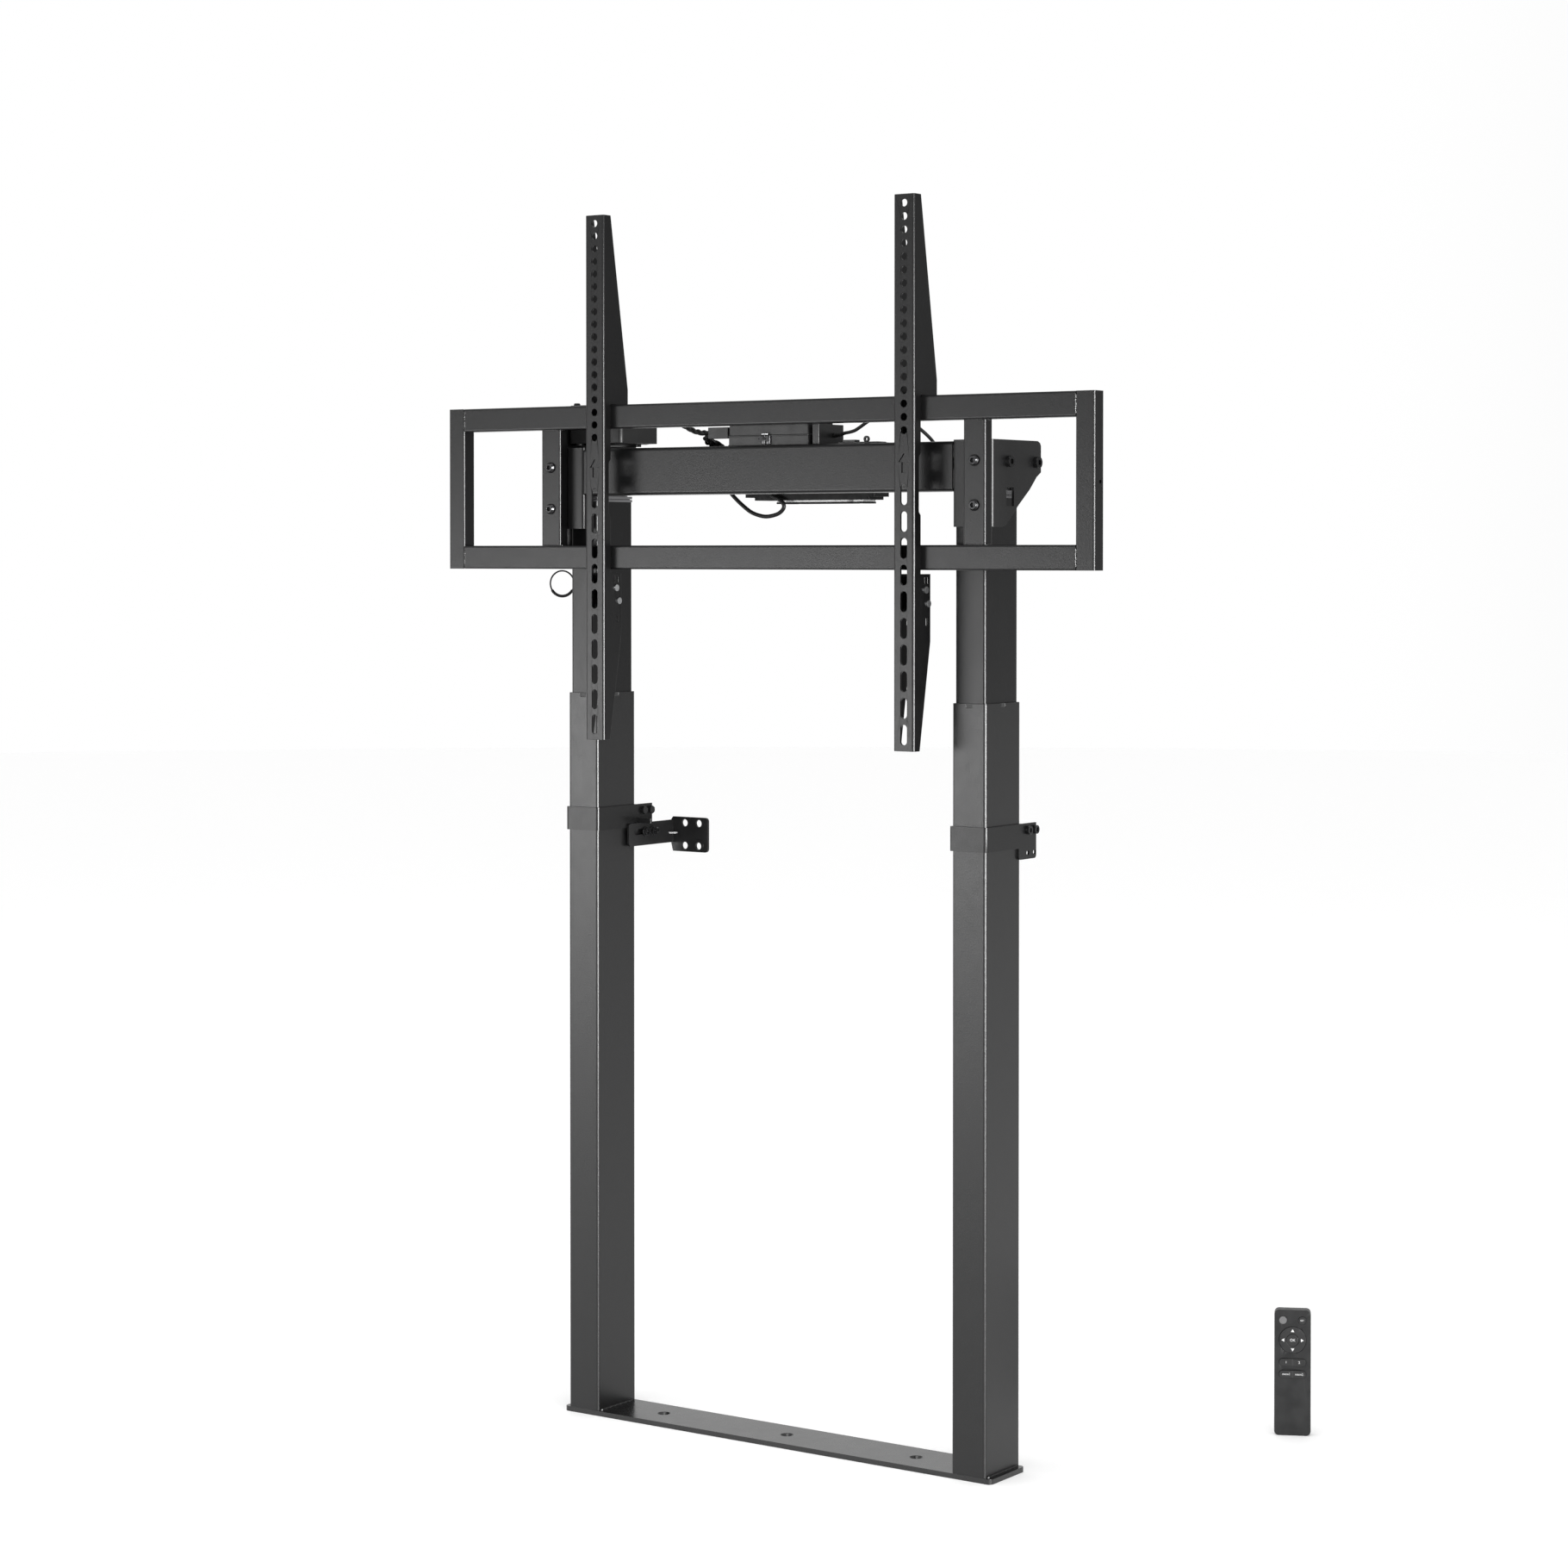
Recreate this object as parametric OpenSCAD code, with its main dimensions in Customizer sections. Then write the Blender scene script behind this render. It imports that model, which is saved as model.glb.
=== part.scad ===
// Television lift: two telescopic columns on one floor plate carry a frame of
// square tube with two hook-on screen arms. Millimetres, +Z up, screen side -Y.
// The drawn pose is the one with the frame 440 mm below its top position.

/* [Base plate] */
// Length of the floor plate
plate_l = 612; // [500:1:800]
// Thickness of the floor plate
plate_t = 6; // [4:0.5:12]
// Distance between neighbouring floor screw holes
floor_hole_pitch = 182; // [120:1:240]
// Diameter of a floor screw hole
floor_hole_d = 8.5; // [5:0.1:12]
// Diameter of the countersink at the surface
floor_sink_d = 16; // [10:0.5:24]

/* [Columns] */
// Half distance between the column centre lines
column_x = 276; // [200:1:350]
// Width of an outer column
outer_w = 45; // [40:0.5:60]
// Depth of an outer column
outer_d = 75; // [60:0.5:100]
// Wall of an outer column
outer_wall = 1.5; // [1:0.1:4]
// Height of the upper rim of the outer columns
outer_top = 880; // [600:1:1000]
// Thickness of the glide liner round an inner column
liner_t = 0.7; // [0.4:0.05:2]
// Wall of an inner column
inner_wall = 2; // [1:0.1:4]
// Height of the lower end of the inner columns in the drawn pose
inner_bottom = 190; // [120:1:300]
// Height of the upper end of the inner columns in the drawn pose
inner_top = 1112; // [1000:1:1200]
// Running gap between a glide and the column that slides on it
glide_gap = 0.3; // [0.1:0.05:1]
// Height of the upper glide collar
glide_h = 40; // [20:1:80]

/* [Clamps] */
// Lower edge of a clamp band
band_z0 = 713; // [600:1:800]
// Upper edge of a clamp band
band_z1 = 741; // [620:1:820]
// Sheet thickness of a clamp band
band_t = 2.5; // [1.5:0.1:5]
// Lower edge of the drilled ears
ear_z0 = 700; // [600:1:800]
// Rear edge of the drilled ears
ear_y1 = 68.5; // [50:0.5:90]
// Height of the upper ear holes
ear_hole_hi = 733; // [700:0.5:760]
// Height of the lower ear holes
ear_hole_lo = 707; // [690:0.5:730]
// Sheet thickness of a wall bracket
wall_t = 3; // [2:0.1:6]
// Depth position of the wall face of a bracket
wall_y = 110; // [90:1:150]
// Distance between the two columns of tab holes
tab_pitch_x = 21.5; // [15:0.5:40]
// Distance between the two rows of tab holes
tab_pitch_z = 28; // [15:0.5:50]
// Diameter of a tab hole
tab_hole_d = 9; // [5:0.1:12]

/* [Screen frame] */
// Half length between the outer sides of the end tubes
frame_x = 458.5; // [300:1:600]
// Width of an end tube
end_w = 24.5; // [15:0.5:40]
// Front face of the frame
frame_y0 = -72.3; // [-100:0.1:-50]
// Depth of the frame tubes
frame_d = 20; // [10:0.5:40]
// Height of a rail
rail_h = 28.3; // [20:0.1:50]
// Lower edge of the lower rail
low_rail_z = 1030.4; // [1000:0.1:1100]
// Lower edge of the upper rail
top_rail_z = 1198.5; // [1150:0.1:1300]
// Wall of the frame tubes
tube_wall = 2; // [1:0.1:4]
// Corner radius of the frame tubes
tube_r = 2.4; // [0.5:0.1:4]
// Width of a support tube
support_w = 29; // [20:0.5:50]
// Half distance between the support tube centre lines
support_x = 301.5; // [280:0.5:330]

/* [Arms] */
// Half distance between the arm centre lines
arm_x = 220; // [150:1:280]
// Width of an arm
arm_w = 28; // [20:0.5:40]
// Sheet thickness of an arm
arm_t = 2.5; // [1.5:0.1:4]
// Outer bend radius of an arm
arm_bend = 3; // [0.5:0.1:5]
// Front face of an arm
arm_y0 = -86.3; // [-120:0.1:-75]
// Lower end of an arm
arm_z0 = 826.5; // [700:0.5:900]
// Upper end of an arm
arm_z1 = 1452.5; // [1300:0.5:1600]
// Height of the uppermost round hole
arm_hole_z = 1442.5; // [1400:0.5:1500]
// Pitch of the round holes
arm_hole_pitch = 15; // [10:1:30]
// Number of round holes
arm_holes = 18; // [4:1:24]
// Diameter of the round holes and width of the slots
arm_hole_d = 8.5; // [5:0.1:12]
// Height of the uppermost slot centre
arm_slot_z = 1115; // [1000:1:1200]
// Pitch of the slots
arm_slot_pitch = 30; // [26:1:40]
// Number of slots
arm_slots = 10; // [4:1:12]
// Length of a slot
arm_slot_l = 23; // [12:0.5:25]
// Gap between an arm and the frame that it slides along
arm_gap = 0.3; // [0.1:0.05:1]

/* [Drive] */
// Diameter of a spindle
spindle_d = 16; // [12:0.5:20]
// Diameter of the spindle journal
journal_d = 12; // [8:0.5:14]
// Radial running gap of spindles and shafts
run_gap = 0.05; // [0.01:0.01:0.1]
// Outer diameter of a nut tube
nut_tube_d = 25; // [20:0.5:27]
// Bore of a nut tube
nut_tube_bore = 19; // [17:0.5:22]
// Upper end of a nut tube
nut_tube_top = 660; // [500:1:720]
// Diameter of a drive nut
nut_d = 30; // [26:0.5:34]
// Height of a drive nut
nut_h = 40; // [20:1:60]
// Teeth of a bevel gear
teeth = 16; // [12:2:24]
// Pitch radius of a bevel gear at its large end
gear_r = 16; // [12:0.5:17]
// Tooth height above the pitch circle
addendum = 1.3; // [0.8:0.1:1.6]
// Tooth depth below the pitch circle
dedendum = 2; // [1.4:0.1:2.6]
// Height of the linking shaft
shaft_z = 1150; // [1145:0.5:1155]
// Height of the gearmotor shaft
motor_z = 1205; // [1200:0.5:1210]
// Diameter of the linking shaft and the gearmotor shaft
shaft_d = 10; // [8:0.5:12]

/* [Handset] */
// Width of the handset
hand_w = 43; // [30:0.5:60]
// Height of the handset
hand_h = 150; // [100:1:200]
// Thickness of the handset
hand_t = 14; // [10:0.5:25]
// Gap round each key
key_gap = 0.35; // [0.3:0.05:0.8]
// Distance of the handset from the middle of the lift, to the right
hand_x = 478.6; // [350:0.1:700]
// Distance of the handset from the middle of the lift, to the rear
hand_y = 366.5; // [0:0.1:500]
// Turn of the handset about the upright axis
hand_turn = 26.7; // [0:0.1:90]

/* [Hidden] */
steel = [0.09, 0.09, 0.1];
plastic = [0.16, 0.16, 0.17];
zinc = [0.72, 0.73, 0.74];
brass_c = [0.75, 0.6, 0.3];
dark = [0.05, 0.05, 0.055];
white = [0.85, 0.86, 0.86];
frame_y1 = frame_y0 + frame_d;
support_y0 = frame_y0 + 4.5;
frame_top = top_rail_z + rail_h;
hollow_w = outer_w - 2 * outer_wall;
hollow_d = outer_d - 2 * outer_wall;
inner_w = hollow_w - 2 * (liner_t + glide_gap);
inner_d = hollow_d - 2 * (liner_t + glide_gap);
plate_w = outer_d;
bracket_y1 = frame_y1 + 3;
head_top = 1177;
gusset_in = 313;
gusset_out = 316;
bed_gap = 0.3;
shank_play = 0.2;
motor_lead_path = [[-86.05, -34, 1192.5], [-90, -34, 1192.5], [-95, -34, 1192], [-104, -34, 1193],
    [-114, -34, 1196], [-124, -33.5, 1200.5], [-136, -33, 1205], [-150, -32, 1208],
    [-166, -30, 1209], [-182, -27, 1208.5], [-198, -23, 1208], [-210, -20, 1208], [-219.95, -20, 1208]];
switch_lead_path = [[75.05, -12, 1186.5], [80, -12, 1186.5], [88, -17, 1186.7], [95, -24, 1187.3],
    [102, -29, 1188.2], [110, -31.5, 1189], [118, -32.5, 1190.8], [126, -33.5, 1194.5],
    [134, -34, 1199], [143, -35, 1203], [156, -35.5, 1206], [172, -35, 1206.5], [186, -32, 1203],
    [196, -27, 1196], [204.5, -21.5, 1188], [210.5, -15.5, 1180], [215, -12.5, 1173],
    [221, -11, 1165.5], [229, -11, 1159.5], [240, -11, 1156.2], [246, -11, 1155.5], [251.95, -11, 1155.5]];
ribbon_path = [[-86.05, -31, 1189], [-89.5, -31, 1189], [-94, -30.5, 1188.6], [-98, -27.5, 1185.3],
    [-98.5, -22.5, 1181.2], [-97, -17, 1178.6], [-95, -12.5, 1174.5], [-94, -8, 1168.5],
    [-94, 0, 1162], [-93, 8, 1159], [-89, 17, 1157], [-83, 22, 1156], [-77, 24, 1156], [-70.05, 24, 1156]];
ribbon_path_b = [[-86.05, -36, 1187.4], [-88.5, -36, 1187.4], [-91, -34.5, 1186.3], [-91.5, -30.5, 1184.4],
    [-90, -24, 1181.2], [-87, -17, 1178.6], [-84.5, -12.5, 1174.5], [-83.5, -8, 1168.5],
    [-84, 0, 1163], [-85, 10, 1157], [-85.5, 19, 1150.5], [-84, 26, 1145.5], [-80.5, 30, 1143],
    [-76, 31, 1142], [-70.05, 31, 1142]];
loop_path = [[-69.55, 6, 1137], [-74, 6, 1137], [-82, 6, 1135.5], [-88, 6, 1131], [-88.5, 6, 1125.5],
    [-85.5, 6, 1121], [-80.9, 6, 1116.5], [-70.2, 6, 1107.7], [-56.6, 6, 1098.6], [-43, 6, 1094],
    [-31.5, 6, 1093], [-18, 6, 1095.7], [-10.4, 6, 1100.7], [-8.6, 6, 1106], [-12.6, 6, 1111.3],
    [-19, 6, 1114.8], [-24.6, 6, 1117], [-27, 6, 1119.4], [-27, 6, 1120.95]];

// shared shapes
module box(x0, x1, y0, y1, z0, z1) {
    translate([min(x0, x1), min(y0, y1), min(z0, z1)])
        cube([abs(x1 - x0), abs(y1 - y0), abs(z1 - z0)]);
}
module round_rect(w, d, r) {
    hull()
        for (sx = [-1, 1], sy = [-1, 1])
            translate([sx * (w / 2 - r), sy * (d / 2 - r)])
                circle(r = r, $fn = 24);
}
module round_bar(w, d, r, z0, z1) {
    translate([0, 0, z0])
        linear_extrude(height = z1 - z0)
            round_rect(w, d, r);
}
module rod_x(x0, x1, y, z, d, fn = 24) {
    translate([min(x0, x1), y, z])
        rotate([0, 90, 0])
            cylinder(d = d, h = abs(x1 - x0), $fn = fn);
}
module rod_y(x, y0, y1, z, d, fn = 24) {
    translate([x, max(y0, y1), z])
        rotate([90, 0, 0])
            cylinder(d = d, h = abs(y1 - y0), $fn = fn);
}
module rod_z(x, y, z0, z1, d, fn = 32) {
    translate([x, y, min(z0, z1)])
        cylinder(d = d, h = abs(z1 - z0), $fn = fn);
}
// a rectangular bar with rounded long edges, lying along X
module bar_x(x0, x1, y0, y1, z0, z1, r) {
    translate([min(x0, x1), (y0 + y1) / 2, (z0 + z1) / 2])
        rotate([90, 0, 90])
            linear_extrude(height = abs(x1 - x0))
                round_rect(y1 - y0, z1 - z0, r);
}
// the same, standing along Z
module bar_z(x0, x1, y0, y1, z0, z1, r) {
    translate([(x0 + x1) / 2, (y0 + y1) / 2, 0])
        round_bar(abs(x1 - x0), abs(y1 - y0), r, z0, z1);
}
// side = -1 puts a piece drawn for the right half on the left half
module on_side(side) {
    if (side < 0) {
        mirror([1, 0, 0])
            children();
    } else {
        children();
    }
}
// a wire along a list of points; each ring stands square to the path there, and up
// is a direction that the path never takes
module wire(path, r, sides, up = [0, 0, 1]) {
    n = len(path);
    dirs = [for (i = [0 : n - 1])
        let (a = path[max(0, i - 1)], b = path[min(n - 1, i + 1)]) (b - a) / norm(b - a)];
    pts = [for (i = [0 : n - 1]) let (t = dirs[i],
        u = cross(t, up) / norm(cross(t, up)),
        v = cross(t, u))
        for (k = [0 : sides - 1])
            path[i] + r * (cos(360 * k / sides) * u + sin(360 * k / sides) * v)];
    walls = [for (i = [0 : n - 2], k = [0 : sides - 1])
        [i * sides + k, i * sides + (k + 1) % sides,
        (i + 1) * sides + (k + 1) % sides, (i + 1) * sides + k]];
    polyhedron(points = pts, faces = concat(walls,
        [[for (k = [sides - 1 : -1 : 0]) k]],
        [[for (k = [0 : sides - 1]) (n - 1) * sides + k]]), convexity = 6);
}

// floor plate and outer columns
module base_plate() {
    color(steel)
        difference() {
            round_bar(plate_l, plate_w, 6, 0, plate_t);
            for (i = [-1, 0, 1]) {
                rod_z(i * floor_hole_pitch, 0, -1, plate_t + 1, floor_hole_d);
                translate([i * floor_hole_pitch, 0, plate_t - (floor_sink_d - floor_hole_d) / 2])
                    cylinder(d1 = floor_hole_d, d2 = floor_sink_d,
                        h = (floor_sink_d - floor_hole_d) / 2, $fn = 32);
            }
        }
}
module rim_notches(w, h) {
    for (s = [-1, 1]) {
        box(-w / 2, w / 2, s * (outer_d / 2 + 1), s * (hollow_d / 2 - 0.6), outer_top - h, outer_top + 1);
        box(s * (outer_w / 2 + 1), s * (hollow_w / 2 - 0.6), -w / 2, w / 2, outer_top - h, outer_top + 1);
    }
}
module outer_column() {
    color(steel)
        translate([column_x, 0, 0])
            difference() {
                round_bar(outer_w, outer_d, 3.5, plate_t, outer_top);
                round_bar(hollow_w, hollow_d, 2, plate_t - 1, outer_top + 1);
                rim_notches(8, 5);
            }
}
module outer_column_left() {
    on_side(-1) outer_column();
}
module outer_column_right() {
    outer_column();
}
// thin liner inside the rim; four snap tabs fill the notches of the column
module top_glides() {
    color(plastic)
        for (s = [-1, 1])
            translate([s * column_x, 0, 0])
                difference() {
                    union() {
                        round_bar(hollow_w, hollow_d, 2, outer_top - glide_h, outer_top);
                        intersection() {
                            round_bar(outer_w - 0.4, outer_d - 0.4, 3.3, outer_top - 5, outer_top);
                            union() {
                                box(-3.9, 3.9, -outer_d, outer_d, outer_top - 4.9, outer_top);
                                box(-outer_w, outer_w, -3.9, 3.9, outer_top - 4.9, outer_top);
                            }
                        }
                    }
                    round_bar(inner_w + 2 * glide_gap, inner_d + 2 * glide_gap, 3.3,
                        outer_top - glide_h - 1, outer_top + 1);
                }
}

// wall clamps, drawn round a column at the origin with the inner side at +X
module inner_frame(side) {
    translate([side * column_x, 0, 0])
        on_side(-side)
            children();
}
module clamp_band() {
    half = outer_w / 2;
    difference() {
        union() {
            difference() {
                hull()
                    for (s = [-1, 1]) {
                        translate([s * (half + band_t - 4), -outer_d / 2 - band_t + 4, band_z0])
                            cylinder(r = 4, h = band_z1 - band_z0, $fn = 24);
                        translate([s * (half + band_t / 2) - band_t / 2, ear_y1 - 1, band_z0])
                            cube([band_t, 1, band_z1 - band_z0]);
                    }
                box(-half, half, -outer_d / 2 + 3, 100, band_z0 - 1, band_z1 + 1);
                round_bar(outer_w, outer_d, 3.5, band_z0 - 1, band_z1 + 1);
            }
            for (s = [-1, 1])
                translate([s * half, 0, 0])
                    rotate([90, 0, s > 0 ? 90 : -90])
                        linear_extrude(height = band_t)
                            scale([s, 1])
                                hull() {
                                    translate([34, ear_z0 + 4])
                                        circle(r = 4, $fn = 24);
                                    translate([ear_y1 - 4, ear_z0 + 4])
                                        circle(r = 4, $fn = 24);
                                    translate([30, band_z1 - 1])
                                        square([ear_y1 - 30, 1]);
                                }
        }
        for (y = [50, 64.5], z = [ear_hole_hi, ear_hole_lo])
            rod_x(-40, 40, y, z, 6);
        box(half - 1, half + band_t + 1, 37.3, 40.9, 717.7, 724.3);
    }
}
module clamp_bands() {
    color(steel)
        for (side = [-1, 1])
            inner_frame(side) clamp_band();
}
module clamp_backs() {
    color(steel)
        for (side = [-1, 1])
            inner_frame(side) {
                box(-22.3, 22.3, outer_d / 2, outer_d / 2 + 3, band_z0, band_z1);
                box(22, 46, outer_d / 2, outer_d / 2 + 3, 718, 724);
            }
}
module black_screws(side) {
    half = outer_w / 2 + band_t;
    leg = half + bed_gap + wall_t + bed_gap;
    inner_frame(side) {
        for (y = [50, 64.5]) {
            rod_x(-half, half, y, ear_hole_hi, 6 - shank_play);
            difference() {
                rod_x(-half - 4, -half, y, ear_hole_hi, 10);
                translate([-half - 5, y, ear_hole_hi])
                    rotate([0, 90, 0])
                        cylinder(d = 5.6, h = 3.4, $fn = 6);
            }
            rod_x(half, half + 4, y, ear_hole_hi, 10, 6);
            rod_x(half - band_t - 4, leg, y, ear_hole_lo, 6 - shank_play);
            rod_x(half - band_t - 4, half - band_t, y, ear_hole_lo, 10, 6);
            difference() {
                union() {
                    rod_x(leg, leg + 1, y, ear_hole_lo, 12);
                    rod_x(leg + 1, leg + 4.5, y, ear_hole_lo, 10);
                }
                translate([leg + 2, y, ear_hole_lo])
                    rotate([0, 90, 0])
                        cylinder(d = 5.6, h = 4, $fn = 6);
            }
        }
    }
}
module clamp_screws() {
    color(dark)
        for (side = [-1, 1])
            black_screws(side);
}
module wall_bracket(side) {
    u0 = outer_w / 2 + band_t + bed_gap;
    hole_x = 46.4;
    hole_z = 686.6;
    inner_frame(side)
        difference() {
            union() {
                difference() {
                    hull() {
                        box(u0, u0 + wall_t, 17.3 + 4, wall_y, 690, 718);
                        rod_x(u0, u0 + wall_t, 21.3, 694, 8);
                        rod_x(u0, u0 + wall_t, 21.3, 714, 8);
                    }
                    hull() {
                        rod_x(u0 - 1, u0 + 9, 31.2, ear_hole_lo, 7);
                        rod_x(u0 - 1, u0 + 9, 75.2, ear_hole_lo, 7);
                    }
                }
                hull() {
                    box(u0, u0 + 8, wall_y - wall_t, wall_y, 690, 718);
                    box(u0 + 3, u0 + 6, wall_y - wall_t, wall_y, 679, 722);
                }
                hull() {
                    box(u0 + 3, u0 + 6, wall_y - wall_t, wall_y, 679, 722);
                    rod_y(77.5, wall_y - wall_t, wall_y, 683.5, 9);
                    rod_y(77.5, wall_y - wall_t, wall_y, 717.5, 9);
                }
                hull() {
                    box(u0 + wall_t, u0 + wall_t + 7, wall_y - wall_t - 1, wall_y - wall_t, 701, 703);
                    box(u0 + wall_t - 1, u0 + wall_t, wall_y - wall_t - 8, wall_y - wall_t, 701, 703);
                }
                rod_y(hole_x + tab_pitch_x, wall_y - wall_t - 1, wall_y - wall_t, hole_z, 15, 32);
            }
            for (i = [0, 1], k = [0, 1])
                rod_y(hole_x + i * tab_pitch_x, wall_y - 9, wall_y + 1, hole_z + k * tab_pitch_z, tab_hole_d, 32);
        }
}
module wall_bracket_left() {
    color(steel) wall_bracket(-1);
}
module wall_bracket_right() {
    color(steel) wall_bracket(1);
}

// inner columns
module nut_tubes() {
    color(zinc)
        for (s = [-1, 1])
            difference() {
                rod_z(s * column_x, 0, plate_t, nut_tube_top, nut_tube_d);
                rod_z(s * column_x, 0, plate_t - 1, nut_tube_top + 1, nut_tube_bore);
            }
}
module drive_nuts() {
    color(brass_c)
        for (s = [-1, 1])
            difference() {
                union() {
                    rod_z(s * column_x, 0, nut_tube_top, nut_tube_top + nut_h, nut_d);
                    rod_z(s * column_x, 0, nut_tube_top - 20, nut_tube_top, nut_tube_bore);
                }
                rod_z(s * column_x, 0, nut_tube_top - 21, nut_tube_top + nut_h + 1, spindle_d + 2 * run_gap);
            }
}
module inner_column() {
    color(steel)
        translate([column_x, 0, 0])
            difference() {
                round_bar(inner_w, inner_d, 3, inner_bottom, inner_top);
                round_bar(inner_w - 2 * inner_wall, inner_d - 2 * inner_wall, 1.5,
                    inner_bottom - 1, inner_top + 1);
            }
}
module inner_column_left() {
    on_side(-1) inner_column();
}
module inner_column_right() {
    inner_column();
}
module bottom_glides() {
    color(plastic)
        for (s = [-1, 1])
            translate([s * column_x, 0, 0])
                difference() {
                    union() {
                        round_bar(hollow_w - 2 * glide_gap, hollow_d - 2 * glide_gap, 1.8,
                            inner_bottom - 10, inner_bottom);
                        round_bar(inner_w - 2 * inner_wall, inner_d - 2 * inner_wall, 1.5,
                            inner_bottom, inner_bottom + 15);
                    }
                    rod_z(0, 0, inner_bottom - 11, inner_bottom + 16, nut_tube_d + 2);
                }
}

// crossbeam and head brackets
module crossbeam() {
    color(steel)
        difference() {
            bar_x(-263, 263, frame_y1, 0, 1119, 1175.5, 4);
            bar_x(-270, 270, bracket_y1, 10, 1122, 1172.5, 1);
            box(-270, 270, -17, 10, 1100, 1200);
        }
}
module head_bracket() {
    color(steel)
        difference() {
            intersection() {
                union() {
                    box(263, gusset_out, frame_y1, bracket_y1, 1079, head_top);
                    box(263, 266, bracket_y1, -37, 1079, head_top);
                    box(gusset_in - 3, gusset_in, bracket_y1, bracket_y1 + 3, 1079, head_top);
                    translate([gusset_in, 0, 0])
                        rotate([90, 0, 90])
                            linear_extrude(height = gusset_out - gusset_in)
                                polygon([[frame_y1, 1079], [-33, 1079], [-28, 1079.8], [-21.5, 1082.4],
                                    [4, 1103.7], [28.8, 1122], [43.5, 1136], [53, 1141.5],
                                    [53, 1171.5], [51, 1175], [46, head_top], [frame_y1, head_top]]);
                }
                bar_z(263, gusset_out, frame_y1, 60, 1079, head_top, 4);
            }
            rod_z(gusset_in - 3, bracket_y1 + 3, 1078, head_top + 1, 6);
            box(gusset_in - 1, gusset_out + 1, -22.8, -6.2, 1102.4, 1123.4);
            for (y = [-19.3, 40.7])
                rod_x(gusset_in - 1, gusset_out + 1, y, 1152.5, 8);
            for (z = [1103, 1153])
                rod_y(support_x, frame_y1 - 1, bracket_y1 + 1, z, 8);
        }
}
module head_bracket_left() {
    on_side(-1) head_bracket();
}
module head_bracket_right() {
    head_bracket();
}

// screen frame
module frame_rails() {
    color(steel)
        for (z = [low_rail_z, top_rail_z])
            difference() {
                bar_x(-frame_x + end_w, frame_x - end_w, frame_y0, frame_y1, z, z + rail_h, tube_r);
                box(-frame_x, frame_x, frame_y0 + tube_wall, frame_y1 - tube_wall,
                    z + tube_wall, z + rail_h - tube_wall);
            }
}
module end_tubes() {
    color(steel)
        for (s = [-1, 1])
            difference() {
                bar_z(s * (frame_x - end_w), s * frame_x, frame_y0, frame_y1, low_rail_z, frame_top, tube_r);
                box(s * (frame_x - end_w + tube_wall), s * (frame_x - tube_wall), frame_y0 + tube_wall,
                    frame_y1 - tube_wall, low_rail_z + tube_wall, frame_top - tube_wall);
                rod_x(s * (frame_x - 5), s * (frame_x + 1), -60, 1127.5, 4.5);
            }
}
module support_tubes() {
    color(steel)
        for (s = [-1, 1])
            difference() {
                bar_z(s * (support_x - support_w / 2), s * (support_x + support_w / 2),
                    support_y0, frame_y1, low_rail_z + rail_h, top_rail_z, tube_r);
                box(s * (support_x - support_w / 2 + tube_wall), s * (support_x + support_w / 2 - tube_wall),
                    support_y0 + tube_wall, frame_y1 - tube_wall, low_rail_z, frame_top);
                for (z = [1103, 1153])
                    rod_y(s * support_x, frame_y0 - 1, frame_y1 + 1, z, 8);
            }
}
module support_screws() {
    color(dark)
        for (s = [-1, 1], z = [1103, 1153])
            difference() {
                union() {
                    rod_y(s * support_x, support_y0, bracket_y1 + 6, z, 8 - shank_play);
                    rod_y(s * support_x, bracket_y1, bracket_y1 + 6, z, 14, 6);
                    hull() {
                        rod_y(s * support_x, support_y0 - 1.5, support_y0, z, 13, 32);
                        rod_y(s * support_x, support_y0 - 4.5, support_y0, z, 9, 32);
                    }
                }
                rod_y(s * support_x, support_y0 - 5, support_y0 - 1.5, z, 5.8, 6);
            }
}
module head_bolts() {
    color(dark)
        for (s = [-1, 1])
            on_side(s) {
                for (y = [-19.3, 40.7])
                    difference() {
                        union() {
                            rod_x(302, gusset_out, y, 1152.5, 8 - shank_play);
                            rod_x(gusset_out, gusset_out + 5.5, y, 1152.5, 13, 32);
                        }
                        translate([gusset_out + 2, y, 1152.5])
                            rotate([0, 90, 0])
                                cylinder(d = 6.9, h = 5, $fn = 6);
                    }
                translate([300, 39, 1126])
                    cylinder(d1 = 8, d2 = 12, h = 3, $fn = 32);
                rod_z(300, 39, 1129, 1138, 12);
            }
}

// heads
module housing_bases() {
    color(zinc)
        for (s = [-1, 1])
            on_side(s)
                difference() {
                    union() {
                        box(column_x - inner_w / 2, column_x + inner_w / 2, -inner_d / 2, inner_d / 2,
                            inner_top, inner_top + 3);
                        box(column_x - inner_w / 2, column_x + inner_w / 2, -inner_d / 2, inner_d / 2,
                            inner_top + 3.8, inner_top + 6.8);
                        box(263.3, column_x + inner_w / 2, -inner_d / 2, inner_d / 2,
                            inner_top + 6.8, inner_top + 8);
                        box(column_x - 18, column_x + 18, -33, 33, inner_top + 3, inner_top + 3.8);
                        box(column_x - 17, column_x + 17, -16.5, 18, inner_top + 6.8, inner_top + 8);
                        box(263.3, 309, -28, 28, inner_top + 8, inner_top + 11);
                        box(column_x - 20, 264, -16.5, 28, inner_top + 8, inner_top + 11);
                    }
                    rod_z(column_x, 0, inner_top - 1, inner_top + 12, spindle_d + 2);
                    rod_z(column_x, 0, inner_top + 1, inner_top + 9, 28);
                }
}
module spindle_bearings() {
    color(zinc)
        for (s = [-1, 1])
            difference() {
                rod_z(s * column_x, 0, inner_top + 1, inner_top + 9, 28);
                rod_z(s * column_x, 0, inner_top, inner_top + 10, journal_d + 2 * run_gap);
            }
}
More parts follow.
